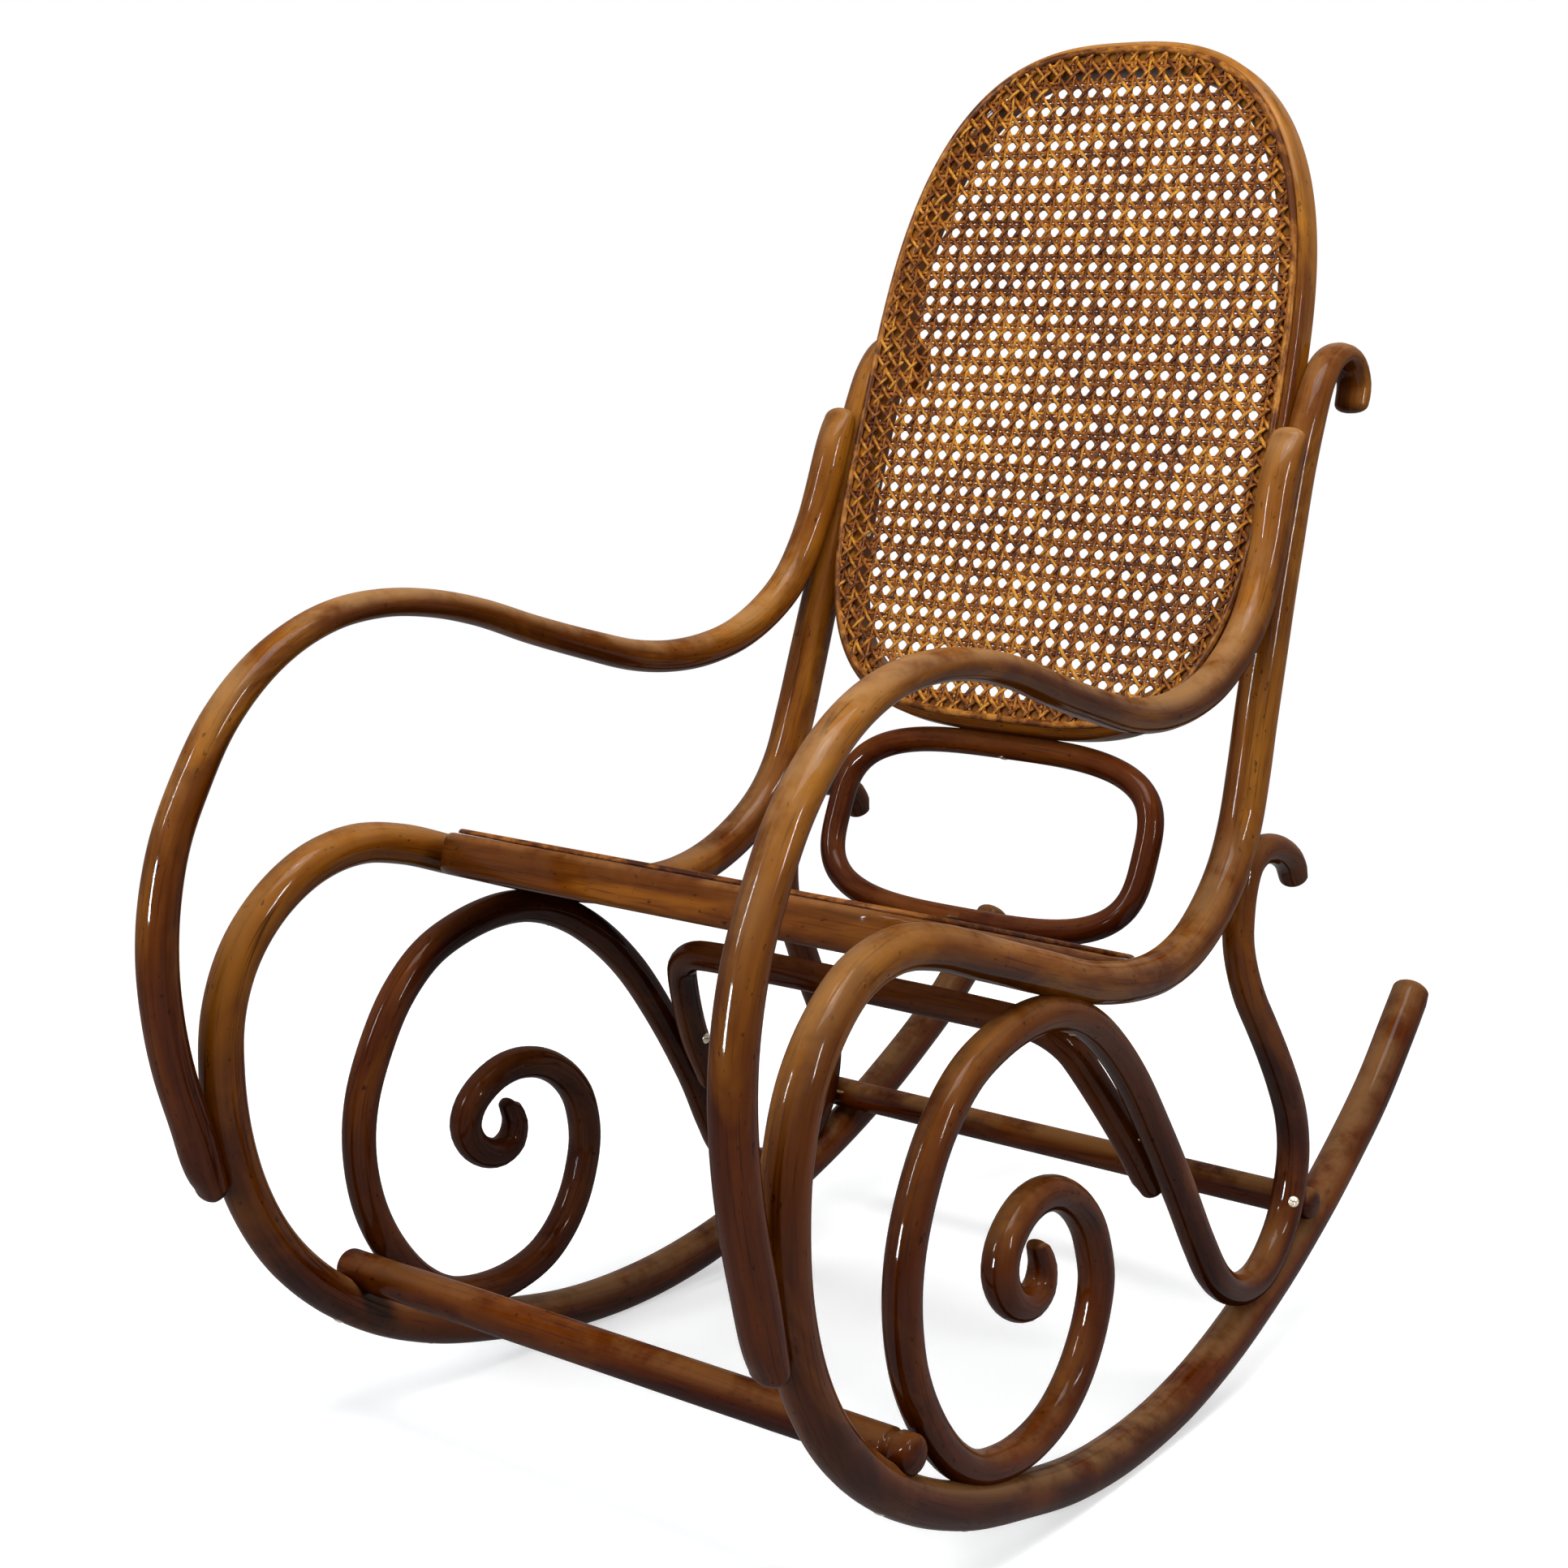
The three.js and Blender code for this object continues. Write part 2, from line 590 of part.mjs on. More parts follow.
function ovalStations() {
  const points = [];
  const power = 2 / ovalCornerSquareness;
  const reach = ovalHalfWidth - ovalDiameter / 2;
  for (let i = 0; i < loopStations; i += 1) {
    const angle = (i + 0.5) / loopStations * 2 * Math.PI;
    const [c, s] = [Math.cos(angle), Math.sin(angle)];
    points.push(new THREE.Vector2(
      Math.sign(c) * Math.abs(c) ** power * reach,
      Math.sign(s) * Math.abs(s) ** power * ovalHalfHeight,
    ));
  }
  return points.map((point, i) => {
    const out = outwardOf(points, i);
    return {
      point: ovalMiddle.clone().addScaledVector(left, point.x).addScaledVector(ovalUp, point.y),
      outward: left.clone().multiplyScalar(out.x).addScaledVector(ovalUp, out.y),
      normal: ovalNormal,
    };
  });
}

// Nets of cane: flat plates with square gaps that stand on their corners
function netGeometry(outline, gapOutline, place) {
  const box = new THREE.Box2().setFromPoints(gapOutline);
  const middle = box.getCenter(new THREE.Vector2());
  const columns = Math.floor((box.max.x - middle.x) / netPitch);
  const rows = Math.floor((box.max.y - middle.y) / netPitch);
  const reach = netGap / 2;
  const loops = [outline];
  for (let i = -columns; i <= columns; i += 1) {
    for (let j = -rows; j <= rows; j += 1) {
      const [x, y] = [middle.x + i * netPitch, middle.y + j * netPitch];
      const gap = [
        new THREE.Vector2(x + reach, y), new THREE.Vector2(x, y + reach),
        new THREE.Vector2(x - reach, y), new THREE.Vector2(x, y - reach),
      ];
      if (gap.every((point) => isInside(point, gapOutline))) {
        loops.push(gap);
      }
    }
  }
  const polygons = loops.map((loop) => loop.map((point) => [point.x, point.y]));
  const plate = new wasm.CrossSection(polygons, 'EvenOdd').extrude(netThickness);
  return fromSolid(plate.warp((vertex) => {
    [vertex[0], vertex[1], vertex[2]] = place(...vertex).toArray();
  }));
}

function isInside(point, outline) {
  let inside = false;
  outline.forEach((a, i) => {
    const b = outline[(i + 1) % outline.length];
    if ((a.y > point.y) !== (b.y > point.y)
      && point.x < (b.x - a.x) * (point.y - a.y) / (b.y - a.y) + a.x) {
      inside = !inside;
    }
  });
  return inside;
}

// Stretchers and brace
function symmetricPath(rows, normal, diameter) {
  return new RodPath(rows.map(([point, girth]) => ({ point, girth, flatness: 1 })), normal, diameter);
}

// Between the rocker and the scroll, on the inner side of the rocker's front bend
const frontCrossing = beside(railPath, frontStretcherShare, 1, frontStretcherWaist, notchDepth);
const frontRail = railPath.at(frontStretcherShare);
const capStart = frontRail.point.x + frontRail.radius - frontStretcherSetIn - capLength;
const grooveGirth = 1 - 2 * capGrooveDepth / frontStretcherDiameter;
const waistGirth = frontStretcherWaist / frontStretcherDiameter;
const frontAt = (x) => new THREE.Vector3(x, frontCrossing.y, frontCrossing.z);
const frontHalf = [
  [capStart + capLength, waistGirth], [capStart + capGrooveWidth, waistGirth], [capStart, grooveGirth],
  [capStart - capGrooveWidth, waistGirth], [sideHalfWidth * frontTaperShare, 1],
];
const frontStretcherPath = symmetricPath([
  ...frontHalf.map(([x, girth]) => [frontAt(-x), girth]),
  ...frontHalf.map(([x, girth]) => [frontAt(x), girth]).reverse(),
], up, frontStretcherDiameter);

// Behind the scrolls' risers
const rearCrossing = beside(scrollPath, riserCrossingShare, 1, rearStretcherDiameter, letIn);
const rearCapDepth = capDepthShare * rearStretcherDiameter / 2;
const rearHalfLength = rearCrossing.x + scrollDiameter / 2 + rearStretcherOverhang - rearCapDepth;
const rearAt = (x) => new THREE.Vector3(x, rearCrossing.y, rearCrossing.z);
const rearStretcherPath = symmetricPath([
  [rearAt(-rearHalfLength), 1], [rearAt(-rearHalfLength / 2), 1],
  [rearAt(rearHalfLength / 2), 1], [rearAt(rearHalfLength), 1],
], up, rearStretcherDiameter);

// The brace's leg on the sitter's left: its foot stands inside the scroll, behind the loop
const scrollFoot = scrollPath.at(braceFootShare);
const footGap = scrollFoot.radius + braceDiameter / 2 - letIn;
const braceFoot = scrollFoot.point.clone().addScaledVector(scrollFoot.across, -footGap);
const braceKnee = braceFoot.clone().add(new THREE.Vector3(-kneeSplay, -kneeForward, kneeRise));
const braceCorner = braceFoot.clone().add(new THREE.Vector3(-braceSplay, -braceForward, braceRise));
const braceDrop = braceKnee.clone().sub(braceCorner).normalize();
const braceNormal = new THREE.Vector3().crossVectors(left, braceDrop).normalize();

function bracePoints() {
  const half = [];
  const centre = braceCorner.clone().addScaledVector(left, -braceBendRadius)
    .addScaledVector(braceDrop, braceBendRadius);
  for (let k = 0; k <= cornerSteps; k += 1) {
    const angle = k / cornerSteps * Math.PI / 2;
    half.push(centre.clone().addScaledVector(left, Math.sin(angle) * braceBendRadius)
      .addScaledVector(braceDrop, -Math.cos(angle) * braceBendRadius));
  }
  half.push(braceKnee, braceFoot);
  const otherHalf = half.map((point) => new THREE.Vector3(-point.x, point.y, point.z)).reverse();
  return [...otherHalf, ...half];
}

const bracePath = symmetricPath(bracePoints().map((point) => [point, 1]), braceNormal, braceDiameter);

// Grown shapes that the neighbours are cut by
const railCutter = rod(railPath, clearance);
const scrollCutter = rod(scrollPath, clearance);
const seatCutter = loopSkin(
  seatStations(seatRailWidth / 2, -seatRailThickness / 2),
  roundedBox(seatRailWidth, seatRailThickness, seatEdgeRounding, clearance),
);
const backCutter = loopSkin(
  backStations(backRailWidth / 2, 0),
  roundedBox(backRailWidth, backRailDepth, backEdgeRounding, clearance),
);

// Screws of one side: name, head place, direction, and the pieces that it holds together
function surfaceOf(path, share, direction) {
  const place = path.at(share);
  return place.point.clone().addScaledVector(direction, place.radius * place.flatness);
}

function screwThrough(name, path, share, target, pieces) {
  const place = path.at(share);
  const direction = target.clone().sub(place.point).normalize();
  return { name, head: surfaceOf(path, share, direction.clone().negate()), direction, pieces };
}

const seatInnerPlace = (share) => {
  const s = seatDepth * share;
  return seatPlace(seatHalfWidth(s) - seatRailWidth, s, -seatRailThickness / 2);
};
const backInnerPlace = (share) => {
  const { z } = railPath.at(share).point;
  return backPlace(backHalfWidth * backWidthShare(z) - backRailWidth, z, 0);
};

const sideScrews = [
  screwThrough('arm_front_screw', railPath, armFrontScrewShare,
    beside(railPath, armFrontScrewShare, -1, armDiameter, letIn), ['side_rod', 'arm']),
  screwThrough('arm_top_screw', railPath, armTopScrewShare,
    beside(railPath, armTopScrewShare, -1, armDiameter, letIn), ['side_rod', 'arm']),
  screwThrough('scroll_seat_screw', scrollPath, loopScrewShare, railPath.at(railScrewShare).point,
    ['side_rod', 'scroll']),
  screwThrough('scroll_front_screw', railPath, rockerFrontScrewShare,
    scrollPath.at(frontLoopScrewShare).point, ['side_rod', 'scroll']),
  screwThrough('scroll_rear_screw', railPath, rockerRearScrewShare,
    scrollPath.at(rearLoopScrewShare).point, ['side_rod', 'scroll']),
  screwThrough('scroll_curl_screw', scrollPath, curlScrewShare, railPath.at(curlRailShare).point,
    ['side_rod', 'scroll']),
  screwThrough('rear_stretcher_screw', scrollPath, riserCrossingShare,
    rearAt(rearCrossing.x - rearScrewSlant), ['scroll', 'stretcher_rear']),
  screwThrough('front_stretcher_screw', railPath, frontStretcherShare, frontAt(frontRail.point.x),
    ['side_rod', 'stretcher_front']),
  {
    name: 'brace_screw',
    head: braceFoot.clone().lerp(braceKnee, footScrewShare).addScaledVector(left, -braceDiameter / 2),
    direction: left.clone(),
    pieces: ['seat_brace', 'scroll'],
  },
  { name: 'seat_front_screw', head: seatInnerPlace(seatScrewFrontShare), direction: left.clone(),
    pieces: ['seat_ring', 'side_rod'] },
  { name: 'seat_rear_screw', head: seatInnerPlace(seatScrewRearShare), direction: left.clone(),
    pieces: ['seat_ring', 'side_rod'] },
  { name: 'back_low_screw', head: backInnerPlace(backScrewLowShare), direction: left.clone(),
    pieces: ['back_frame', 'side_rod'] },
  { name: 'back_high_screw', head: backInnerPlace(backScrewHighShare), direction: left.clone(),
    pieces: ['back_frame', 'side_rod'] },
];
const middleScrews = [
  { name: 'oval_top_screw', head: ovalHead.clone().addScaledVector(ovalUp, -ovalDiameter / 2),
    direction: ovalUp, pieces: ['back_oval', 'back_frame'] },
  { name: 'oval_seat_screw', head: ovalFoot.clone().addScaledVector(seatAlong, ovalDiameter / 2),
    direction: seatAlong.clone().negate(), pieces: ['back_oval', 'seat_ring'] },
];

function holesIn(piece) {
  const own = [...sideScrews, ...middleScrews].filter((screw) => screw.pieces.includes(piece));
  return own.map((screw) => screwGeometry(screw.head, screw.direction, clearance));
}

function holesInBothSides(piece) {
  const side = sideScrews.filter((screw) => screw.pieces.includes(piece))
    .flatMap((screw) => bothSides(screwGeometry(screw.head, screw.direction, clearance)));
  const middle = middleScrews.filter((screw) => screw.pieces.includes(piece))
    .map((screw) => screwGeometry(screw.head, screw.direction, clearance));
  return [...side, ...middle];
}

// The floor wears a flat on the rockers' undersides
const floorBlock = new THREE.BoxGeometry(chairLength * 2, chairLength * 2, chairLength);
floorBlock.deleteAttribute('normal');
floorBlock.deleteAttribute('uv');
const rockerBottom = new THREE.Box3().setFromObject(new THREE.Mesh(rod(railPath))).min.z;
const floorCutter = mergeVertices(floorBlock);
floorCutter.translate(0, 0, rockerBottom + rockerWear - chairLength / 2);

// Side frames
const sideRod = cut(rod(railPath), [floorCutter, ...holesIn('side_rod')]);
const arm = cut(rod(armPath), [railCutter, ...holesIn('arm')]);
const scroll = cut(rod(scrollPath), [railCutter, ...holesIn('scroll')]);

for (const [name, geometry, finish] of [
  ['side_rod', sideRod, outerWood], ['arm', arm, outerWood], ['scroll', scroll, innerWood],
]) {
  addPiece(`${name}_left`, geometry, finish);
  addPiece(`${name}_right`, mirrored(geometry), finish);
}

// Seat
const seatRing = loopSkin(
  seatStations(seatRailWidth / 2, -seatRailThickness / 2),
  roundedBox(seatRailWidth, seatRailThickness, seatEdgeRounding),
);
addPiece('seat_ring', cut(seatRing, [...bothSides(railCutter), ...holesInBothSides('seat_ring')]), innerWood);

const seatNetBase = clearance;
const seatNet = netGeometry(
  seatLoop(seatBindingInset - bindingWidth / 2),
  seatLoop(seatRailWidth + netPitch / 4),
  (x, s, n) => seatPlace(x, s, seatNetBase + n),
);
addPiece('seat_cane', cut(seatNet, bothSides(railCutter)), cane);

function strip(width, thickness) {
  return [[width / 2, 0], [width / 2, thickness], [-width / 2, thickness], [-width / 2, 0]];
}

const bindingSection = strip(bindingWidth, bindingThickness);
const seatBindingBase = seatNetBase + netThickness + clearance;
const seatBinding = loopSkin(seatStations(seatBindingInset, seatBindingBase), bindingSection);
addPiece('seat_cane_binding', cut(seatBinding, bothSides(railCutter)), cane);

// Back
const backFrame = loopSkin(
  backStations(backRailWidth / 2, 0),
  roundedBox(backRailWidth, backRailDepth, backEdgeRounding),
);
const backCutters = [...bothSides(railCutter), ...holesInBothSides('back_frame')];
addPiece('back_frame', cut(backFrame, backCutters), outerWood);

const backFace = backRailDepth / 2 + clearance;
const backNet = netGeometry(
  backLoop(backBindingInset - bindingWidth / 2),
  backLoop(backRailWidth + netPitch / 4),
  (x, z, forward) => backPlace(x, z, backFace + forward),
);
addPiece('back_cane', backNet, cane);
addPiece(
  'back_cane_binding',
  loopSkin(backStations(backBindingInset, backFace + netThickness + clearance), bindingSection),
  cane,
);

// Oval ring
const oval = loopSkin(ovalStations(), roundSection(ovalDiameter));
addPiece('back_oval', cut(oval, [seatCutter, backCutter, ...holesInBothSides('back_oval')]), innerWood);

// Brace and stretchers
const braceCutters = [...bothSides(scrollCutter), seatCutter, ...holesInBothSides('seat_brace')];
addPiece('seat_brace', cut(rod(bracePath), braceCutters), innerWood);
const crossCutters = [...bothSides(railCutter), ...bothSides(scrollCutter)];
addPiece(
  'stretcher_front',
  cut(rod(frontStretcherPath), [...crossCutters, ...holesInBothSides('stretcher_front')]),
  innerWood,
);
addPiece(
  'stretcher_rear',
  cut(rod(rearStretcherPath), [...crossCutters, ...holesInBothSides('stretcher_rear')]),
  innerWood,
);

// Screws
for (const { name, head, direction } of sideScrews) {
  const geometry = screwGeometry(head, direction);
  addPiece(`${name}_left`, geometry, steel);
  addPiece(`${name}_right`, mirrored(geometry), steel);
}
for (const { name, head, direction } of middleScrews) {
  addPiece(name, screwGeometry(head, direction), steel);
}

// The origin is on the floor under the middle of the whole chair
const extent = new THREE.Box3().setFromObject(chair);
chair.position.set(0, -(extent.min.y + extent.max.y) / 2, -extent.min.z);
chair.updateMatrixWorld(true);

export default chair;
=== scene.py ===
# Looks of the bentwood rocking chair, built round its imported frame.
import math

import bpy
import numpy as np
from mathutils import Matrix, Vector


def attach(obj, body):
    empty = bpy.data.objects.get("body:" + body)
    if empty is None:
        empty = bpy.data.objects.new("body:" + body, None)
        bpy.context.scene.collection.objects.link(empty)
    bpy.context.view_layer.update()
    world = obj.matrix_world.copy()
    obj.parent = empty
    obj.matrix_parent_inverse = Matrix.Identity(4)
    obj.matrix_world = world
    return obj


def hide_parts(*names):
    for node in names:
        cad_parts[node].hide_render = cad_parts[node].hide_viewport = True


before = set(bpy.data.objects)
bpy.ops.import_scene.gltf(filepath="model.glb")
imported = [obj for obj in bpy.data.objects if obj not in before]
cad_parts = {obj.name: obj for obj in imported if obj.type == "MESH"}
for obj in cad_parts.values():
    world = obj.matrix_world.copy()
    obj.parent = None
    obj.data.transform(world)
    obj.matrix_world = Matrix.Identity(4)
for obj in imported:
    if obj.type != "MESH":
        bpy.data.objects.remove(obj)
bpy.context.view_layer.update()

# One millimetre in the scene's metres
MM = 0.001

# Driving sizes in millimetres, as in the part
CHAIR_LENGTH = 1000.0
CHAIR_HEIGHT = 1050.0
SIDE_HALF_WIDTH = 244.0
NARROWING_TO_REAR = 0.041
NARROWING_UPWARDS = 0.026
# From the drawing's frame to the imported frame
SHIFT = np.array([0.0, -25.89, -1.79])
SIDE_ROD_DIAMETER = 32.0
ARM_DIAMETER = 29.0
SCROLL_DIAMETER = 26.0
OVAL_DIAMETER = 21.0
BRACE_DIAMETER = 24.0
FRONT_STRETCHER_DIAMETER = 29.0
FRONT_STRETCHER_WAIST = 28.0
REAR_STRETCHER_DIAMETER = 26.0
REAR_STRETCHER_OVERHANG = 2.0
TAPER_START_SHARE = 0.55
BELLY_PLACES = (0.0, 60.0, 110.0)
BELLY_EASING = 0.1
LET_IN = 1.5
NOTCH_DEPTH = 5.0
CAP_LENGTH = 13.0
CAP_GROOVE_DEPTH = 3.0
CAP_GROOVE_WIDTH = 3.5
CAP_NECK = 5.0
CAP_EDGE = 2.0
CAP_ROUNDING = 6.5
CAP_SET_IN = 7.5
SEAT_DEPTH = 398.0
SEAT_RAIL_WIDTH = 38.0
SEAT_RAIL_THICKNESS = 31.0
SEAT_EDGE_ROUNDING = 6.0
SEAT_FRONT_CORNER = 50.0
SEAT_REAR_CORNER = 120.0
SEAT_BINDING_INSET = 12.0
BACK_HEIGHT = 551.0
BACK_DROP = 37.0
BACK_FORWARD_LOW = 7.0
BACK_FORWARD_HIGH = 1.0
BACK_LET_IN = 6.0
BACK_BOW = 10.0
BACK_TAPER = 0.04
BACK_RAIL_WIDTH = 25.0
BACK_RAIL_DEPTH = 28.0
BACK_EDGE_ROUNDING = 7.5
BACK_TOP_SQUARENESS = 2.75
BACK_BOTTOM_SQUARENESS = 3.6
BACK_BINDING_INSET = 9.0
OVAL_HALF_WIDTH = 159.0
OVAL_SQUARENESS = 3.3
OVAL_SET_BACK = 9.0
OVAL_OVERHANG = 3.0
OVAL_SINK = 3.0
OVAL_RISE = 2.0
BRACE_RISE = 138.0
BRACE_FORWARD = 84.0
BRACE_SPLAY = 33.0
BRACE_KNEE = (-7.0, -34.0, 53.0)
BRACE_BEND = 29.0
BRACE_FOOT_ROUNDING = 8.0

# Where pieces meet a rod, counted in rows of its table
SEAT_FRONT_ROW = 23
SEAT_SUPPORT_ROW = 27
BACK_LOW_ROW = 34
BACK_HIGH_ROW = 36.5
FRONT_STRETCHER_ROW = 12.6
BRACE_ROW = 37
REAR_STRETCHER_ROW = 44.5
# The arm's ends on the side rod: the rod's row, the share of the arm's diameter there, its girth
ARM_FRONT_CONTACTS = [(15.6, 0.9, 0.96), (16.4, 1.0, 1.0)]
ARM_POST_CONTACTS = [(36.5, 0.96, 1.03), (37.3, 0.9, 1.02)]

# Rods' rows: place along the chair and height as shares of its length and height, place outboard
# as a share of its length, girth, and flatness where the rod isn't round
SIDE_ROD = [
    (0.5179, 0.2296, 0.0025, 1.02), (0.487, 0.2029, 0.0023, 1.03), (0.44, 0.1648, 0.002, 1.03),
    (0.38, 0.1276, 0.0015, 1.03), (0.31, 0.0914, 0.0012, 1.03), (0.23, 0.059, 0.001, 1.03),
    (0.15, 0.0343, 0.0012, 1.03), (0.075, 0.02, 0.0012, 1.03), (0, 0.0155, 0.001, 1.03),
    (-0.075, 0.0206, 0.0008, 1.03), (-0.145, 0.0348, 0, 1.03), (-0.215, 0.0538, -0.0013, 1.03),
    (-0.275, 0.08, -0.003, 1.02), (-0.326, 0.1133, -0.0042, 1.01), (-0.367, 0.1538, -0.0047, 1),
    (-0.394, 0.1976, -0.0043, 1), (-0.409, 0.2429, -0.0033, 1), (-0.4145, 0.2905, -0.0017, 0.99),
    (-0.411, 0.3352, -0.0005, 0.98), (-0.396, 0.3733, -0.0009, 0.97), (-0.369, 0.4038, -0.0018, 0.96),
    (-0.333, 0.4248, -0.003, 0.95), (-0.29, 0.4319, -0.0023, 0.95), (-0.245, 0.4248, -0.0012, 0.95),
    (-0.19, 0.4067, 0.0003, 0.95), (-0.12, 0.3833, 0.0014, 0.95), (-0.06, 0.3638, 0.0025, 0.95),
    (0, 0.3514, 0.0025, 0.96), (0.05, 0.3481, 0.0016, 0.97), (0.095, 0.3552, 0.0005, 0.99),
    (0.135, 0.3724, -0.0012, 1.01), (0.168, 0.3971, -0.0028, 1.03), (0.189, 0.4257, -0.0037, 1.05),
    (0.204, 0.4638, -0.004, 1.06), (0.217, 0.5048, -0.0043, 1.05), (0.236, 0.5619, -0.0039, 1.02),
    (0.259, 0.6267, -0.003, 0.96), (0.277, 0.681, -0.0008, 0.89), (0.291, 0.7143, 0.001, 0.86, 0.94),
    (0.304, 0.7381, 0.002, 0.85, 0.83), (0.321, 0.7543, 0.0025, 0.86, 0.72),
    (0.343, 0.76, 0.0028, 0.87, 0.66), (0.362, 0.7533, 0.003, 0.88, 0.64),
    (0.371, 0.7371, 0.0033, 0.89, 0.64), (0.3665, 0.7219, 0.0037, 0.89, 0.66),
]
ARM = [
    (-0.455, 0.3057, -0.0007, 1, 1), (-0.462, 0.3429, 0, 1, 1),
    (-0.4645, 0.381, 0.0006, 1, 1), (-0.461, 0.419, 0.0012, 1, 0.98), (-0.45, 0.459, 0.002, 1, 0.96),
    (-0.432, 0.4943, 0.0026, 1, 0.93), (-0.407, 0.5314, 0.0032, 1, 0.88), (-0.375, 0.561, 0.0036, 1, 0.82),
    (-0.34, 0.581, 0.004, 1, 0.76), (-0.3, 0.5933, 0.005, 1, 0.73), (-0.255, 0.5967, 0.006, 1, 0.72),
    (-0.209, 0.5924, 0.0056, 1, 0.73), (-0.16, 0.5814, 0.0052, 1, 0.75), (-0.104, 0.5629, 0.004, 1, 0.78),
    (-0.046, 0.5457, 0.0019, 1, 0.82), (0.005, 0.5324, 0.0003, 1, 0.86), (0.05, 0.5271, -0.0004, 1, 0.9),
    (0.092, 0.5286, -0.001, 1, 0.94), (0.13, 0.5362, -0.001, 1, 0.96), (0.165, 0.5514, -0.001, 1, 0.98),
    (0.193, 0.5714, -0.001, 1, 1), (0.212, 0.5952, -0.001, 1, 1), (0.2275, 0.6238, -0.001, 0.98, 1),
]
SCROLL = [
    (-0.131, 0.2038, 0.0045, 0.84), (-0.124, 0.188, 0.0043, 0.88), (-0.128, 0.174, 0.0042, 0.92),
    (-0.141, 0.168, 0.004, 0.94), (-0.157, 0.1714, 0.0038, 0.96), (-0.171, 0.1819, 0.0036, 0.97),
    (-0.178, 0.1971, 0.0033, 0.98), (-0.173, 0.2133, 0.0027, 0.98), (-0.153, 0.2286, 0.0019, 0.98),
    (-0.128, 0.2343, 0.0014, 0.98), (-0.1, 0.2295, 0.001, 0.98), (-0.075, 0.2152, 0.0014, 0.99),
    (-0.057, 0.1952, 0.0019, 1), (-0.049, 0.1752, 0.0024, 1), (-0.046, 0.1552, 0.003, 1),
    (-0.05, 0.1343, 0.0024, 1), (-0.06, 0.1114, 0.0012, 1), (-0.077, 0.09, 0, 1),
    (-0.1, 0.0743, -0.001, 1), (-0.133, 0.0657, -0.0016, 1), (-0.167, 0.0657, -0.0021, 1),
    (-0.203, 0.0743, -0.0025, 1), (-0.236, 0.0962, -0.0024, 1), (-0.265, 0.1314, -0.0022, 1),
    (-0.283, 0.1686, -0.002, 1), (-0.29, 0.2095, -0.0013, 1), (-0.286, 0.2448, -0.0007, 1),
    (-0.271, 0.281, 0, 1), (-0.249, 0.3134, 0.0012, 1), (-0.218, 0.3386, 0.0024, 1),
    (-0.18, 0.3519, 0.0033, 1), (-0.14, 0.3569, 0.0042, 1), (-0.105, 0.3533, 0.0046, 1),
    (-0.068, 0.34, 0.0044, 1), (-0.033, 0.3181, 0.003, 1), (0.005, 0.2838, 0.0018, 1),
    (0.046, 0.2324, 0.0013, 1), (0.084, 0.1771, 0.0022, 1), (0.11, 0.1333, 0.0045, 1),
    (0.131, 0.1038, 0.006, 1), (0.163, 0.082, 0.0042, 1), (0.192, 0.074, 0.0038, 1),
    (0.219, 0.0769, 0.0038, 1), (0.244, 0.0912, 0.0038, 1), (0.26, 0.1102, 0.0047, 1),
    (0.269, 0.1339, 0.0057, 1), (0.272, 0.1604, 0.0066, 1), (0.267, 0.1876, 0.0066, 1),
    (0.253, 0.2149, 0.0066, 1), (0.235, 0.2451, 0.0048, 0.99), (0.219, 0.271, 0.0019, 0.98),
    (0.203, 0.2952, -0.0004, 0.97), (0.195, 0.3176, -0.0032, 0.96), (0.192, 0.3378, -0.0051, 0.95),
    (0.194, 0.3567, -0.006, 0.95), (0.199, 0.377, -0.006, 0.94), (0.209, 0.3925, -0.006, 0.93),
    (0.225, 0.3993, -0.0059, 0.92), (0.243, 0.3993, -0.0059, 0.92), (0.265, 0.3935, -0.0059, 0.92),
    (0.283, 0.3829, -0.0059, 0.92), (0.292, 0.3702, -0.0059, 0.92),
]
SPIRAL_TIP_GIRTHS = (0.6, 0.8)
# Length of a rod's rounded end, as a share of its radius
ROD_CAP = 0.5
ARM_CAP = 0.7
BRACE_CAP = 1.0
# The arm's ends lean on the side rod over this length, and lose this share of their squared depth
ARM_LEAN = 34.0
LEAN_LOSS = 0.75

# Fineness and fullness of the meshes
ROD_STEP = 7.0
ROD_SIDES = 28
ROD_SQUARENESS = 2.06
ROD_WANDER = 0.22
CAP_STEPS = 6
CAP_FULLNESS = 0.8
END_STEPS = 6
END_FULLNESS = 0.6
TAPER_STEPS = 8
GROOVE_STEPS = 6
GROOVE_FULLNESS = 0.8
REAR_STEPS = 10
BOX_STEPS = 5
BEND_STEPS = 4
TURNED_SIDES = 32
TURNED_GRAIN_RADIUS = 13.0
OVAL_SIDES = 24
CORNER_STEPS = 40
LOOP_SAMPLES = 6000
SEAT_COUNT = 240
BACK_COUNT = 320
OVAL_COUNT = 200
WANDER_WAVES = (0.011, 0.023, 0.041, 0.067)
SEAM_REACH = 20.0

UP = np.array([0.0, 0.0, 1.0])
LEFT = np.array([1.0, 0.0, 0.0])
MIRROR = np.array([-1.0, 1.0, 1.0])


# Curves and the paths of the rods
def unit(v):
    v = np.asarray(v, float)
    return v / np.linalg.norm(v, axis=-1, keepdims=True)


SIDE_NORMAL = unit([1.0, NARROWING_TO_REAR, NARROWING_UPWARDS])


def run_lengths(points):
    steps = np.linalg.norm(np.diff(points, axis=0), axis=1)
    return np.concatenate([[0], np.cumsum(steps)])


def circle(sides):
    a = (np.arange(sides) + 0.5) / sides * 2 * math.pi
    return np.cos(a), np.sin(a)


def side_place(row):
    y = row[0] * CHAIR_LENGTH
    z = row[1] * CHAIR_HEIGHT
    return [SIDE_HALF_WIDTH - NARROWING_TO_REAR * y - NARROWING_UPWARDS * z + row[2] * CHAIR_LENGTH, y, z]


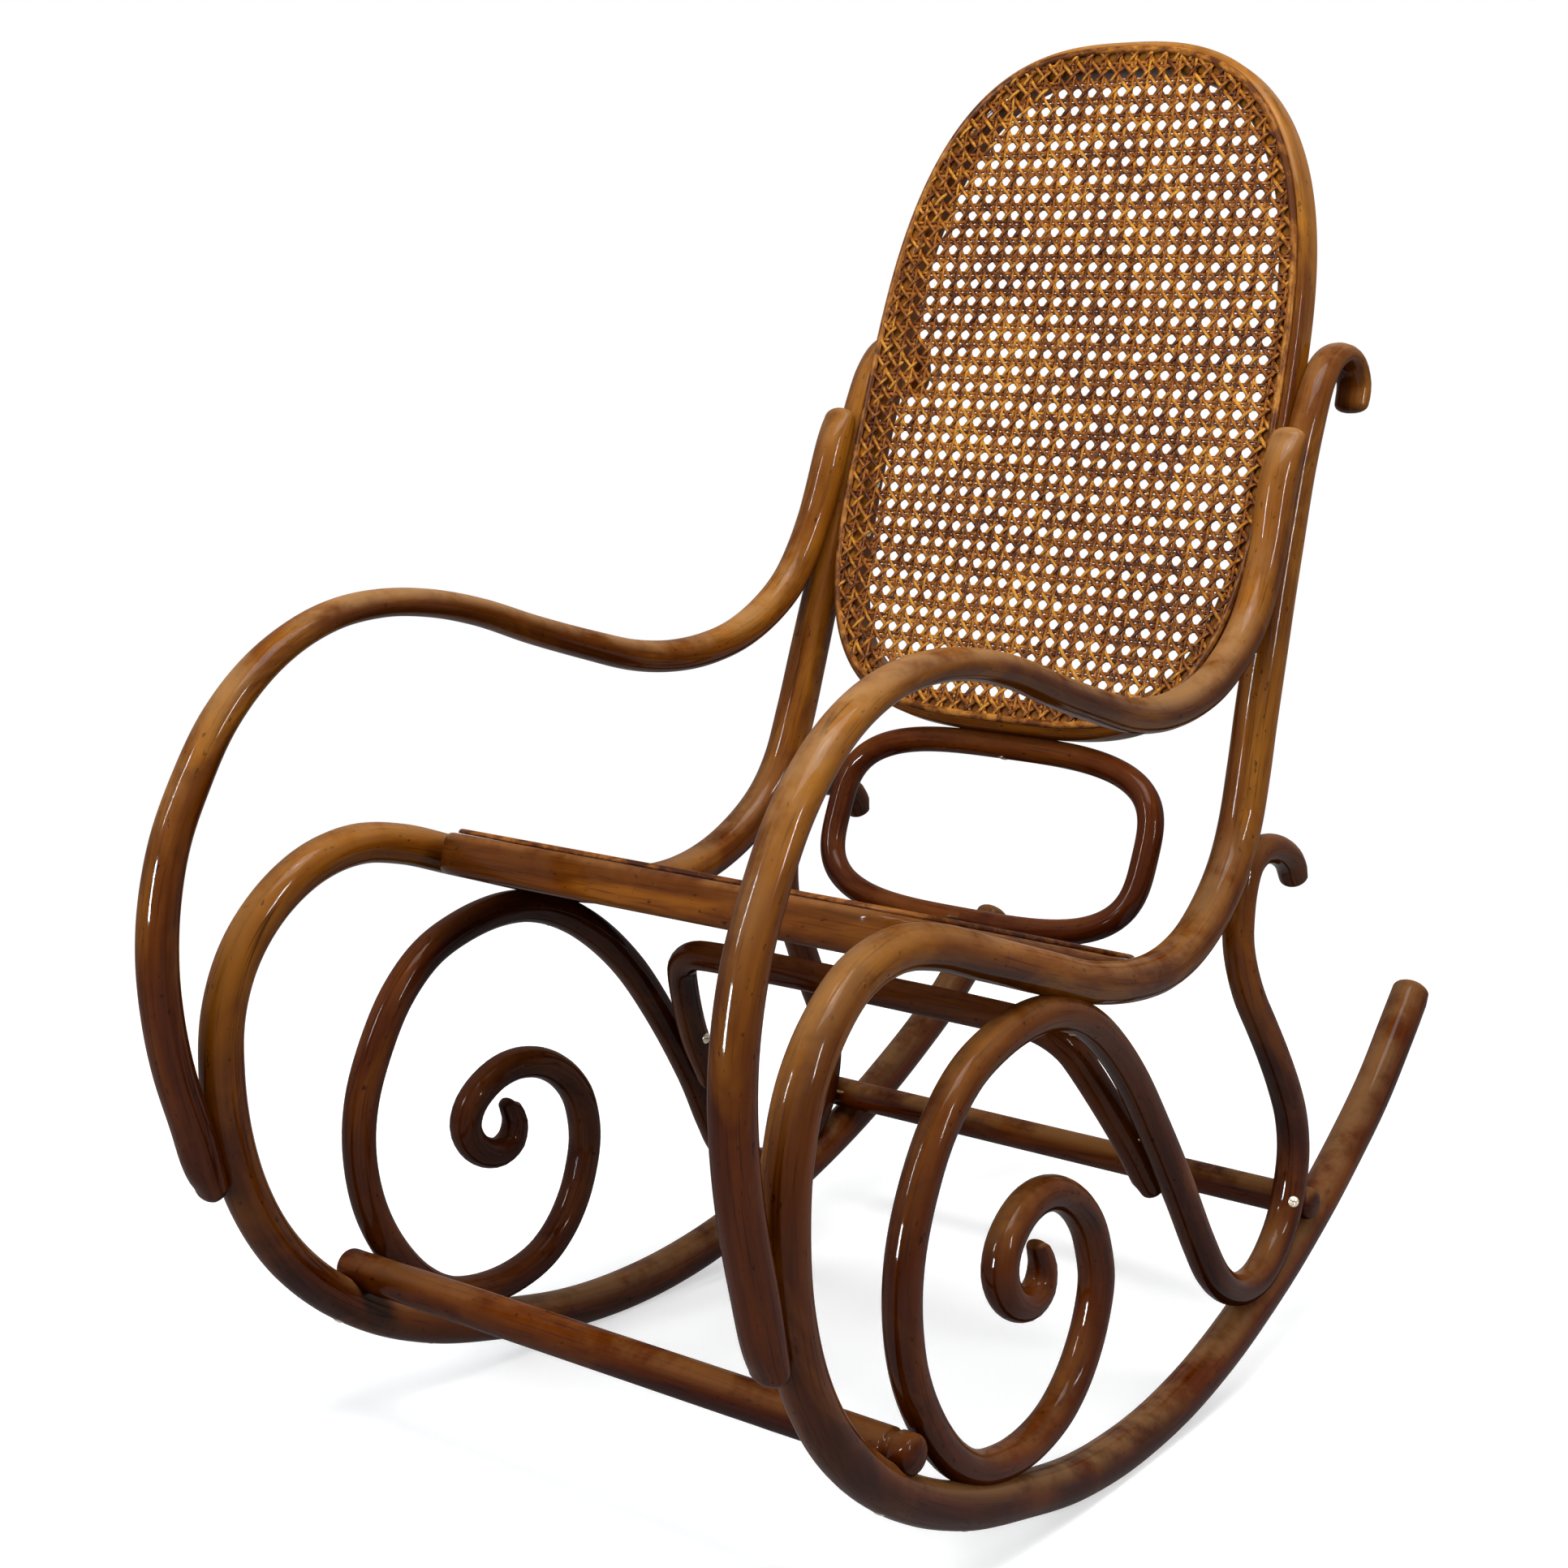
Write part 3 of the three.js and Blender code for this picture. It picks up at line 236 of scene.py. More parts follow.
def curve_points(points, shares):
    # A smooth curve through all points, as the part's: centripetal, with straight runs past its ends
    last = len(points) - 1
    ends = np.vstack([2 * points[0] - points[1], points, 2 * points[-1] - points[-2]])
    i = np.clip(np.floor(shares).astype(int), 0, last - 1)
    w = (shares - i)[:, None]
    p0, p1, p2, p3 = ends[i], ends[i + 1], ends[i + 2], ends[i + 3]
    d0, d1, d2 = [(((b - a) ** 2).sum(1) ** 0.25)[:, None] for a, b in ((p0, p1), (p1, p2), (p2, p3))]
    t1 = ((p1 - p0) / d0 - (p2 - p0) / (d0 + d1) + (p2 - p1) / d1) * d1
    t2 = ((p2 - p1) / d1 - (p3 - p1) / (d1 + d2) + (p3 - p2) / d2) * d1
    return p1 + t1 * w + (3 * (p2 - p1) - 2 * t1 - t2) * w ** 2 + (2 * (p1 - p2) + t1 + t2) * w ** 3


class RodPath:
    def __init__(self, points, girths, flats, normal, diameter):
        self.points = np.array(points, float)
        self.girths = np.array(girths, float)
        self.flats = np.array(flats, float)
        self.normal = normal
        self.diameter = diameter
        self.last = len(self.points) - 1

    def stations(self, shares):
        shares = np.atleast_1d(np.asarray(shares, float))
        step = 0.0001 * self.last
        point = curve_points(self.points, shares)
        before = curve_points(self.points, np.maximum(shares - step, 0))
        after = curve_points(self.points, np.minimum(shares + step, self.last))
        along = unit(after - before)
        across = unit(self.normal - along * (along @ self.normal)[:, None])
        inward = np.cross(along, across)
        rows = np.arange(self.last + 1)
        radius = self.diameter / 2 * np.interp(shares, rows, self.girths)
        return point, along, across, inward, radius, np.interp(shares, rows, self.flats)

    def at(self, share):
        return [value[0] for value in self.stations(share)]

    def fine(self, step):
        lengths = np.linalg.norm(np.diff(self.points, axis=0), axis=1)
        shares = [np.array([0.0])]
        for i, length in enumerate(lengths):
            n = max(int(math.ceil(length / step)), 1)
            shares.append(i + np.arange(1, n + 1) / n)
        return np.concatenate(shares)


def beside(path, share, direction, diameter, depth):
    # The middle of a second rod that is let into the first one
    point, _, _, inward, radius, flat = path.at(share)
    return point + inward * direction * (radius * flat + diameter / 2 - depth)


def half_width_between(path, share, depth):
    point, _, _, _, radius, _ = path.at(share)
    return point[0] - radius + depth


def rows_path(rows, diameter):
    flats = [r[4] if len(r) > 4 else 1.0 for r in rows]
    return RodPath([side_place(r) for r in rows], [r[3] for r in rows], flats, SIDE_NORMAL, diameter)


def arm_path():
    def contacts(rows):
        return [(beside(rail, share, -1, ARM_DIAMETER * part, LET_IN), girth, 1.0)
                for share, part, girth in rows]

    rows = contacts(ARM_FRONT_CONTACTS)
    rows += [(side_place(r), r[3], r[4]) for r in ARM]
    rows += contacts(ARM_POST_CONTACTS)
    points, girths, flats = zip(*rows)
    return RodPath(points, girths, flats, SIDE_NORMAL, ARM_DIAMETER)


rail = rows_path(SIDE_ROD, SIDE_ROD_DIAMETER)
arm = arm_path()
scroll = rows_path(SCROLL, SCROLL_DIAMETER)
scroll.girths[:2] = SPIRAL_TIP_GIRTHS


# Closed loops
def squared(v, power):
    return np.sign(v) * np.abs(v) ** power


def resample(loop, count):
    closed = np.vstack([loop, loop[:1]])
    run = run_lengths(closed)
    marks = np.linspace(0, run[-1], count, endpoint=False)
    return np.column_stack([np.interp(marks, run, closed[:, k]) for k in (0, 1)])


def outward_of(loop):
    run = unit(np.roll(loop, -1, axis=0) - np.roll(loop, 1, axis=0))
    return np.column_stack([run[:, 1], -run[:, 0]])


# Seat: its plane runs through two places on the side rods
seat_front = rail.at(SEAT_FRONT_ROW)[0] * [0, 1, 1]
seat_support = rail.at(SEAT_SUPPORT_ROW)[0] * [0, 1, 1]
seat_along = unit(seat_support - seat_front)
seat_normal = np.cross(LEFT, seat_along)
seat_origin = seat_front + seat_normal * SEAT_RAIL_THICKNESS / 2
seat_half_front = half_width_between(rail, SEAT_FRONT_ROW, LET_IN)
seat_half_support = half_width_between(rail, SEAT_SUPPORT_ROW, LET_IN)
seat_widening = seat_half_support - seat_half_front
seat_half_rear = seat_half_front + seat_widening * SEAT_DEPTH / np.linalg.norm(seat_support - seat_front)


def seat_place(x, s, n):
    x, s, n = [np.asarray(v, float)[..., None] for v in (x, s, n)]
    return x * LEFT + seat_origin + s * seat_along + n * seat_normal


def seat_loop(inset, count=SEAT_COUNT):
    corners = [(seat_half_front, 0.0, SEAT_FRONT_CORNER), (seat_half_rear, SEAT_DEPTH, SEAT_REAR_CORNER),
               (-seat_half_rear, SEAT_DEPTH, SEAT_REAR_CORNER), (-seat_half_front, 0.0, SEAT_FRONT_CORNER)]
    points = []
    for c, (x, s, radius) in enumerate(corners):
        cx = x - math.copysign(radius, x)
        cy = radius if s == 0 else s - radius
        for k in range(CORNER_STEPS + 1):
            a = (c - 1) * math.pi / 2 + k / CORNER_STEPS * math.pi / 2
            points.append((cx + math.cos(a) * (radius - inset), cy + math.sin(a) * (radius - inset)))
    return resample(np.array(points), count)


def seat_stations(inset, n):
    loop = seat_loop(inset)
    out = outward_of(loop)
    point = seat_place(loop[:, 0], loop[:, 1], np.full(len(loop), float(n)))
    outward = out[:, :1] * LEFT + out[:, 1:] * seat_along
    return point, outward, np.tile(seat_normal, (len(loop), 1))


# Back: a bowed surface through two places on the posts
back_low = rail.at(BACK_LOW_ROW)[0] - [0, BACK_FORWARD_LOW, 0]
back_high = rail.at(BACK_HIGH_ROW)[0] - [0, BACK_FORWARD_HIGH, 0]
back_slope = (back_high[1] - back_low[1]) / (back_high[2] - back_low[2])
back_half = BACK_HEIGHT / 2
back_bottom = back_low[2] - BACK_DROP
back_middle = back_bottom + back_half
back_curve = BACK_BOW / back_half ** 2
back_face = BACK_RAIL_DEPTH / 2


def back_surface(z):
    y = back_low[1] + back_slope * (z - back_low[2]) - back_curve * (z - back_low[2]) * (z - back_high[2])
    lean = np.arctan(back_slope - back_curve * (2 * z - back_low[2] - back_high[2]))
    normal = np.stack([np.zeros_like(lean), -np.cos(lean), np.sin(lean)], axis=-1)
    return y, normal


def back_place(x, z, forward):
    x, z, forward = np.broadcast_arrays(*[np.asarray(v, float) for v in (x, z, forward)])
    y, normal = back_surface(z)
    return np.stack([x, y, z], axis=-1) + normal * forward[..., None]


def back_width_share(z):
    rise = (z - back_middle) / back_half
    power = BACK_TOP_SQUARENESS if rise > 0 else BACK_BOTTOM_SQUARENESS
    return (1 - BACK_TAPER * rise) * (1 - abs(rise) ** power) ** (1 / power)


back_half_width = half_width_between(rail, BACK_HIGH_ROW, BACK_LET_IN) / back_width_share(back_high[2])


def back_loop(inset, count=BACK_COUNT):
    a = np.linspace(0, 2 * math.pi, LOOP_SAMPLES, endpoint=False)
    power = 2 / np.where(np.sin(a) > 0, BACK_TOP_SQUARENESS, BACK_BOTTOM_SQUARENESS)
    rise = squared(np.sin(a), power) * (back_half - inset)
    half = (back_half_width - inset) * (1 - BACK_TAPER * rise / back_half)
    return resample(np.column_stack([squared(np.cos(a), power) * half, rise + back_middle]), count)


def back_stations(inset, forward):
    loop = back_loop(inset)
    out = outward_of(loop)
    _, normal = back_surface(loop[:, 1])
    upwards = -np.cross(LEFT, normal)
    outward = unit(out[:, :1] * LEFT + out[:, 1:] * upwards)
    return back_place(loop[:, 0], loop[:, 1], float(forward)), outward, normal


# Oval ring: it stands on the seat's rear edge and reaches the back frame
oval_reach = OVAL_DIAMETER / 2 - LET_IN / 2
oval_foot = seat_place(0, SEAT_DEPTH + OVAL_OVERHANG, oval_reach - OVAL_SINK)
oval_head = back_place(0, back_bottom - oval_reach + OVAL_RISE, -OVAL_SET_BACK)
oval_middle = (oval_foot + oval_head) / 2
oval_up = unit(oval_head - oval_foot)
oval_half = np.linalg.norm(oval_head - oval_foot) / 2
oval_normal = unit(np.cross(oval_up, LEFT))


def oval_stations():
    a = np.linspace(0, 2 * math.pi, LOOP_SAMPLES, endpoint=False)
    power = 2 / OVAL_SQUARENESS
    reach = OVAL_HALF_WIDTH - OVAL_DIAMETER / 2
    samples = np.column_stack([squared(np.cos(a), power) * reach, squared(np.sin(a), power) * oval_half])
    loop = resample(samples, OVAL_COUNT)
    out = outward_of(loop)
    point = oval_middle + loop[:, :1] * LEFT + loop[:, 1:] * oval_up
    outward = out[:, :1] * LEFT + out[:, 1:] * oval_up
    return point, outward, np.tile(oval_normal, (OVAL_COUNT, 1))


# Meshes
def add_piece(name, nodes, slot, material, verts, faces, grain=None, tone=None):
    mesh = bpy.data.meshes.new(name)
    mesh.from_pydata((verts * MM).tolist(), [], faces)
    mesh.polygons.foreach_set("use_smooth", [True] * len(mesh.polygons))
    if grain is not None:
        layer = mesh.attributes.new("grain", "FLOAT_VECTOR", "POINT")
        layer.data.foreach_set("vector", (grain * MM).astype(np.float32).ravel())
    if tone is not None:
        layer = mesh.attributes.new("tone", "FLOAT", "POINT")
        layer.data.foreach_set("value", tone.astype(np.float32))
    mesh.update()
    obj = bpy.data.objects.new(name, mesh)
    bpy.context.scene.collection.objects.link(obj)
    mesh.materials.append(material)
    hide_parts(*nodes)
    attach(obj, "root")


def strip_faces(rings, sides):
    r, k = np.meshgrid(np.arange(rings - 1), np.arange(sides), indexing="ij")
    turn = (k + 1) % sides
    corners = [r * sides + k, r * sides + turn, (r + 1) * sides + turn, (r + 1) * sides + k]
    return np.stack(corners, axis=-1).reshape(-1, 4)


def end_fans(rings, sides):
    # The two ends' middle points come after the rings
    first = rings * sides
    base = first - sides
    fans = [(first, (k + 1) % sides, k) for k in range(sides)]
    return fans + [(first + 1, base + k, base + (k + 1) % sides) for k in range(sides)]


def outward_faces(verts, rings, sides, capped=True):
    quads = strip_faces(rings, sides)
    a, b, c, d = [verts[quads[:, k]] for k in range(4)]
    volume = np.einsum("ij,ij->i", a, np.cross(b, c)).sum() + np.einsum("ij,ij->i", a, np.cross(c, d)).sum()
    faces = quads.tolist() + (end_fans(rings, sides) if capped else [])
    if volume < 0:
        faces = [f[::-1] for f in faces]
    return faces


def wander(run, seed, size):
    phase = np.random.default_rng(seed).uniform(0, 2 * math.pi, len(WANDER_WAVES))
    return size * sum(np.sin(run * w + p) / (j + 1.5) for j, (w, p) in enumerate(zip(WANDER_WAVES, phase)))


def ring_grain(u, v, marks):
    return np.column_stack([np.tile(u, len(marks)), np.tile(v, len(marks)), np.repeat(marks, len(u))])


def grain_start(seed):
    # Each piece is cut from its own place in the wood
    return seed * np.array([37.0, 11.0, 731.0])


def rod_grain(u, v, marks, seed):
    ends = [[0, 0, marks[0]], [0, 0, marks[-1]]]
    return np.vstack([ring_grain(u, v, marks), ends]) + grain_start(seed)


def sweep_rod(path, seed, cap=ROD_CAP, lean=0.0):
    point, along, across, inward, radius, flat = path.stations(path.fine(ROD_STEP))
    run = run_lengths(point)
    radius = radius + wander(run, seed, ROD_WANDER)
    c, s = circle(ROD_SIDES)
    fuller = (np.abs(c) ** ROD_SQUARENESS + np.abs(s) ** ROD_SQUARENESS) ** (-1 / ROD_SQUARENESS)
    c, s = c * fuller, s * fuller
    # A leaning end draws in on the side that faces away from the neighbour
    to_end = np.minimum(run, run[-1] - run)
    leaning = np.clip(1 - to_end / max(lean, 1e-6), 0, 1)
    drawn = np.sqrt(np.clip(1 - LEAN_LOSS * leaning ** 2, 0, 1))

    def ring(i, shrink=1.0, shift=0.0):
        reach = np.where(c < 0, c * drawn[i], c)
        return (point[i] + along[i] * shift + np.outer(reach * radius[i] * flat[i] * shrink, inward[i])
                + np.outer(s * radius[i] * shrink, across[i]))

    rings = [ring(i) for i in range(len(run))]
    marks = list(run)
    for k in range(1, CAP_STEPS):
        turn = k / CAP_STEPS * math.pi / 2
        shrink = math.cos(turn) ** CAP_FULLNESS
        first_reach = math.sin(turn) * cap * radius[0]
        last_reach = math.sin(turn) * cap * radius[-1]
        rings.insert(0, ring(0, shrink, -first_reach))
        marks.insert(0, -first_reach)
        rings.append(ring(-1, shrink, last_reach))
        marks.append(run[-1] + last_reach)
    poles = [point[0] - along[0] * cap * radius[0], point[-1] + along[-1] * cap * radius[-1]]
    verts = np.vstack(rings + [poles])
    mean = float(np.mean(radius))
    grain = rod_grain(c * mean, s * mean, marks, seed)
    return verts + SHIFT, outward_faces(verts, len(rings), ROD_SIDES), grain


def sweep_loop(stations, section, seed, seam_key):
    # The seam in the grain goes to the middle of the loop's lowest or rearmost run
    point = stations[0]
    off_run = seam_key(point) > seam_key(point).min() + SEAM_REACH
    start = int(np.argmin(np.where(off_run, np.inf, np.abs(point[:, 0]))))
    point, outward, normal = [np.roll(v, -start, axis=0) for v in stations]
    point, outward, normal = [np.vstack([v, v[:1]]) for v in (point, outward, normal)]
    section = np.asarray(section, float)
    verts = (point[:, None] + section[None, :, :1] * outward[:, None]
             + section[None, :, 1:] * normal[:, None]).reshape(-1, 3)
    grain = ring_grain(*section.T, run_lengths(point)) + grain_start(seed)
    return verts + SHIFT, outward_faces(verts, len(point), len(section), capped=False), grain


def lowest(point):
    return point[:, 2]


def rearmost(point):
    return -point[:, 1]


def rounded_box(width, depth, rounding):
    section = []
    for cx, cy, start in ((1, 1, 0), (-1, 1, 90), (-1, -1, 180), (1, -1, 270)):
        for k in range(BOX_STEPS + 1):
            a = math.radians(start + 90 * k / BOX_STEPS)
            section.append((cx * (width / 2 - rounding) + math.cos(a) * rounding,
                            cy * (depth / 2 - rounding) + math.sin(a) * rounding))
    return section


def turned(profile, centre, seed):
    # A turned rod across the chair: its profile gives place along X and radius
    c, s = circle(TURNED_SIDES)
    x, r = [column[:, None] for column in np.array(profile, float).T]
    _, y, z = centre
    rings = np.stack([x + 0 * c, y + r * c, z + r * s], axis=-1).reshape(-1, 3)
    verts = np.vstack([rings, [profile[0][0], y, z], [profile[-1][0], y, z]])
    grain = rod_grain(c * TURNED_GRAIN_RADIUS, s * TURNED_GRAIN_RADIUS, x.ravel(), seed)
    return verts + SHIFT, outward_faces(verts, len(profile), TURNED_SIDES), grain


def both_halves(left_half, right_half):
    return [(-x, r) for x, r in left_half[::-1]] + right_half[1:]


# Node materials
class Tree:
    def __init__(self, owner, output):
        owner.use_nodes = True
        self.owner = owner
        self.nodes = owner.node_tree.nodes
        self.links = owner.node_tree.links
        self.nodes.clear()
        self.out = self.add(output)

    def add(self, kind, inputs=None, **settings):
        node = self.nodes.new("ShaderNode" + kind)
        for key, value in settings.items():
            setattr(node, key, value)
        for key, value in (inputs or {}).items():
            if isinstance(value, bpy.types.NodeSocket):
                self.links.new(value, node.inputs[key])
            else:
                node.inputs[key].default_value = value
        return node

    def maths(self, operation, a, b=0.5):
        return self.add("Math", {0: a, 1: b}, operation=operation).outputs[0]

    def attribute(self, name, output):
        return self.add("Attribute", attribute_name=name).outputs[output]

    def place(self):
        return self.add("TexCoord").outputs["Object"]

    def noise(self, vector, scale, detail=3.0, roughness=0.55, distortion=0.0):
        # A tuple stretches the noise, by so many marks to the metre each way
        if isinstance(scale, tuple):
            vector = self.add("Mapping", {"Vector": vector, "Scale": scale}).outputs[0]
            scale = 1.0
        return self.add("TexNoise", {"Vector": vector, "Scale": scale, "Detail": detail,
                                     "Roughness": roughness, "Distortion": distortion}).outputs["Fac"]

    def span(self, value, low, high, to_low=0.0, to_high=1.0):
        return self.add("MapRange", {0: value, 1: low, 2: high, 3: to_low, 4: to_high},
                        interpolation_type="SMOOTHSTEP").outputs[0]

    def mix(self, factor, a, b, blend="MIX"):
        a, b = [(*v, 1.0) if isinstance(v, tuple) else v for v in (a, b)]
        return self.add("Mix", {0: factor, 6: a, 7: b}, data_type="RGBA", blend_type=blend).outputs[2]

    def bump(self, strength, depth, height):
        return self.add("Bump", {"Strength": strength, "Distance": depth, "Height": height}).outputs[0]

    def sees_background(self):
        # The camera, glossy surfaces and clear ones see the pale background
        rays = self.add("LightPath").outputs
        share = self.maths("MAXIMUM", rays["Is Camera Ray"], rays["Is Glossy Ray"])
        return self.maths("MAXIMUM", share, rays["Is Transmission Ray"])

    def finish(self, surface):
        self.links.new(surface, self.out.inputs["Surface"])
        return self.owner


def material_tree(name):
    return Tree(bpy.data.materials.new(name), "OutputMaterial")


def shade(colour, share):
    return tuple(share * v for v in colour)


# Wood's marks to the metre, twice across the grain and once along it
FIGURE = (52, 52, 3.2)
PORES = (620, 620, 16)
STAINS = (18, 18, 5.5)
FLECKS = (260, 260, 130)
DARK_LINES = (38, 38, 1.1)
LINE_BREAKS = (20, 20, 6)
RIPPLES = (70, 70, 22)
# Painted shade: the tint that low parts are multiplied towards, standing in for the weaker light down there
LOW_PAINTED_SHADE_TINT = (0.42, 0.235, 0.1)


def dark_lines(t, grain):
    lines = t.noise(grain, DARK_LINES, 1.0, 0.4)
    line = t.span(t.maths("ABSOLUTE", t.maths("SUBTRACT", lines, 0.5)), 0.0, 0.006, 0.75, 0.0)
    return t.maths("MULTIPLY", line, t.span(t.noise(grain, LINE_BREAKS, 2.0, 0.5), 0.5, 0.6))


def rubbed_and_sheen_share(t, place, wear_and_sheen):
    # Faces that look up are touched and rubbed most; the paler, greyer colour there is partly wear and
    # partly a painted sheen of the light from above
    normal = t.add("NewGeometry").outputs["Normal"]
    upward = t.add("SeparateXYZ", {0: normal}).outputs["Z"]
    patches = t.noise(place, 17.0, 4.0, 0.65)
    rubbed_and_sheen = t.maths("MULTIPLY", t.span(upward, 0.1, 0.95), t.span(patches, 0.32, 0.6))
    return t.maths("MULTIPLY", rubbed_and_sheen, wear_and_sheen)


def wood(name, dark, middle, light, worn_and_sheen, wear_and_sheen, coat, roughness=0.42, low_painted_shade=1.0):
    t = material_tree(name)
    grain = t.attribute("grain", "Vector")
    place = t.place()
    figure = t.noise(grain, FIGURE, 4.0, 0.6, 0.4)
    pores = t.noise(grain, PORES, 2.0, 0.6)
    stains = t.noise(grain, STAINS, 4.0, 0.62, 0.8)
    mottle = t.noise(place, 26.0, 4.0, 0.6)
    flecks = t.noise(grain, FLECKS, 2.0, 0.5)
    colour = t.mix(t.span(figure, 0.34, 0.68), dark, middle)
    colour = t.mix(t.span(stains, 0.44, 0.72, 0.0, 0.75), colour, light)
    colour = t.mix(t.span(mottle, 0.58, 0.78, 0.0, 0.5), colour, dark)
    colour = t.mix(t.span(pores, 0.56, 0.72, 0.0, 0.6), colour, shade(dark, 0.35))
    colour = t.mix(t.span(flecks, 0.66, 0.74, 0.0, 0.75), colour, shade(dark, 0.3))
    colour = t.mix(dark_lines(t, grain), colour, shade(dark, 0.2))
    # Painted shade: low down the varnish is darker and redder, standing in for the light falling off
    # towards the floor
    height = t.add("SeparateXYZ", {0: place}).outputs["Z"]
    painted_shade_height = t.maths("ADD", height, t.span(stains, 0.3, 0.7, -0.08, 0.08))
    colour = t.mix(t.span(painted_shade_height, 0.05, 0.8, low_painted_shade, 0.0), colour, LOW_PAINTED_SHADE_TINT, "MULTIPLY")
    # Partly wear, partly painted sheen: patches on up-facing faces turn to the paler worn colour
    rubbed_and_sheen = rubbed_and_sheen_share(t, place, wear_and_sheen)
    colour = t.mix(rubbed_and_sheen, colour, worn_and_sheen)
    rough = t.maths("ADD", t.span(mottle, 0.3, 0.75, roughness - 0.06, roughness + 0.1),
                    t.maths("MULTIPLY", rubbed_and_sheen, 0.18))
    relief = t.maths("ADD", t.maths("MULTIPLY", pores, 0.3), figure)
    bump = t.bump(0.25, 0.0005, relief)
    ripples = t.noise(grain, RIPPLES, 2.0, 0.5)
    varnish = t.bump(0.16, 0.0006, ripples)
    shader = t.add("BsdfPrincipled", {"Base Color": colour, "Roughness": rough, "Specular IOR Level": 0.0,
                                      "Coat Weight": coat, "Coat Roughness": 0.06,
                                      "Normal": bump, "Coat Normal": varnish})
    return t.finish(shader.outputs[0])


def cane_material(name, dark, middle, light):
    t = material_tree(name)
    grain = t.attribute("grain", "Vector")
    tone = t.attribute("tone", "Fac")
    fibres = t.noise(grain, (2400, 2400, 38), 2.0, 0.6)
    patches = t.noise(grain, (110, 110, 75), 4.0, 0.65)
    broad = t.noise(t.place(), 9.0, 3.0, 0.6)
    share = t.maths("ADD", tone, t.span(patches, 0.3, 0.72, -0.6, 0.6))
    share = t.maths("ADD", share, t.span(broad, 0.35, 0.7, -0.15, 0.15))
    colour = t.mix(t.span(share, 0.0, 0.55), dark, middle)
    colour = t.mix(t.span(share, 0.5, 1.1), colour, light)
    colour = t.mix(t.span(fibres, 0.5, 0.7, 0.0, 0.4), colour, shade(dark, 0.4))
    rough = t.span(fibres, 0.3, 0.7, 0.4, 0.58)
    bump = t.bump(0.4, 0.0003, fibres)
    shader = t.add("BsdfPrincipled", {"Base Color": colour, "Roughness": rough, "Specular IOR Level": 0.02,
                                      "Coat Weight": 0.02, "Coat Roughness": 0.2, "Normal": bump})
    return t.finish(shader.outputs[0])


def steel_material(name, bright, tarnished, shank):
    t = material_tree(name)
    place = t.place()
    scratches = t.noise(place, (400, 1500, 700), 3.0, 0.6)
    tarnish = t.noise(place, 260.0, 3.0, 0.6)
    colour = t.mix(t.span(tarnish, 0.45, 0.75), bright, tarnished)
    colour = t.mix(t.attribute("tone", "Fac"), shank, colour)
    rough = t.span(scratches, 0.3, 0.7, 0.28, 0.5)
    bump = t.bump(0.25, 0.0002, scratches)
    shader = t.add("BsdfPrincipled", {"Base Color": colour, "Metallic": 1.0, "Roughness": rough,
                                      "Normal": bump})
    return t.finish(shader.outputs[0])


# The worn colours below are partly wear and partly a painted sheen on faces that look up
outer_wood = wood("varnished_outer_wood", dark=(0.1, 0.025, 0.003), middle=(0.25, 0.08, 0.006),
                  light=(0.37, 0.14, 0.011), worn_and_sheen=(0.38, 0.2, 0.075), wear_and_sheen=0.4, coat=0.15)
arm_wood = wood("varnished_arm_wood", dark=(0.11, 0.029, 0.003), middle=(0.245, 0.08, 0.006),
                light=(0.355, 0.134, 0.011), worn_and_sheen=(0.35, 0.19, 0.075), wear_and_sheen=0.6, coat=0.15, low_painted_shade=1.6)
scroll_wood = wood("varnished_scroll_wood", dark=(0.09, 0.022, 0.003), middle=(0.22, 0.07, 0.006),
                   light=(0.36, 0.125, 0.011), worn_and_sheen=(0.33, 0.15, 0.045), wear_and_sheen=0.35, coat=0.15)
# Darker wood for the brace and oval; on the far scroll it is painted shade
inner_wood = wood("varnished_inner_wood", dark=(0.045, 0.008, 0.002), middle=(0.103, 0.022, 0.003),
                  light=(0.165, 0.047, 0.006), worn_and_sheen=(0.18, 0.062, 0.022), wear_and_sheen=0.25, coat=0.12,
                  roughness=0.4, low_painted_shade=0.4)
seat_wood = wood("varnished_seat_wood", dark=(0.07, 0.016, 0.002), middle=(0.165, 0.043, 0.004),
                 light=(0.31, 0.1, 0.009), worn_and_sheen=(0.32, 0.14, 0.04), wear_and_sheen=0.4, coat=0.14,
                 roughness=0.4, low_painted_shade=0.4)
cross_wood = wood("varnished_cross_rod", dark=(0.08, 0.019, 0.003), middle=(0.19, 0.054, 0.005),
                  light=(0.33, 0.115, 0.011), worn_and_sheen=(0.36, 0.17, 0.05), wear_and_sheen=0.4, coat=0.12)
# Painted shade: a darker copy of the cross rod's wood, standing in for the shadow of the side rods on the
# front stretcher
front_rod_painted_shade_wood = wood("varnished_front_rod", dark=(0.07, 0.015, 0.002), middle=(0.165, 0.045, 0.004),
                        light=(0.29, 0.098, 0.009), worn_and_sheen=(0.28, 0.12, 0.035), wear_and_sheen=0.35, coat=0.12)
back_strands = cane_material("varnished_cane", dark=(0.065, 0.015, 0.002), middle=(0.245, 0.07, 0.006),
                             light=(0.53, 0.225, 0.023))
seat_strands = cane_material("seat_cane_strands", dark=(0.06, 0.015, 0.003), middle=(0.17, 0.05, 0.008),
                             light=(0.4, 0.17, 0.03))
back_strip = cane_material("binding_cane", dark=(0.085, 0.022, 0.003), middle=(0.24, 0.078, 0.009),
                           light=(0.4, 0.165, 0.024))
seat_strip = cane_material("seat_binding_cane", dark=(0.05, 0.012, 0.003), middle=(0.13, 0.036, 0.006),
                           light=(0.26, 0.09, 0.016))
steel = steel_material("tarnished_steel", bright=(0.36, 0.32, 0.25), tarnished=(0.14, 0.1, 0.055),
                       shank=(0.05, 0.022, 0.01))


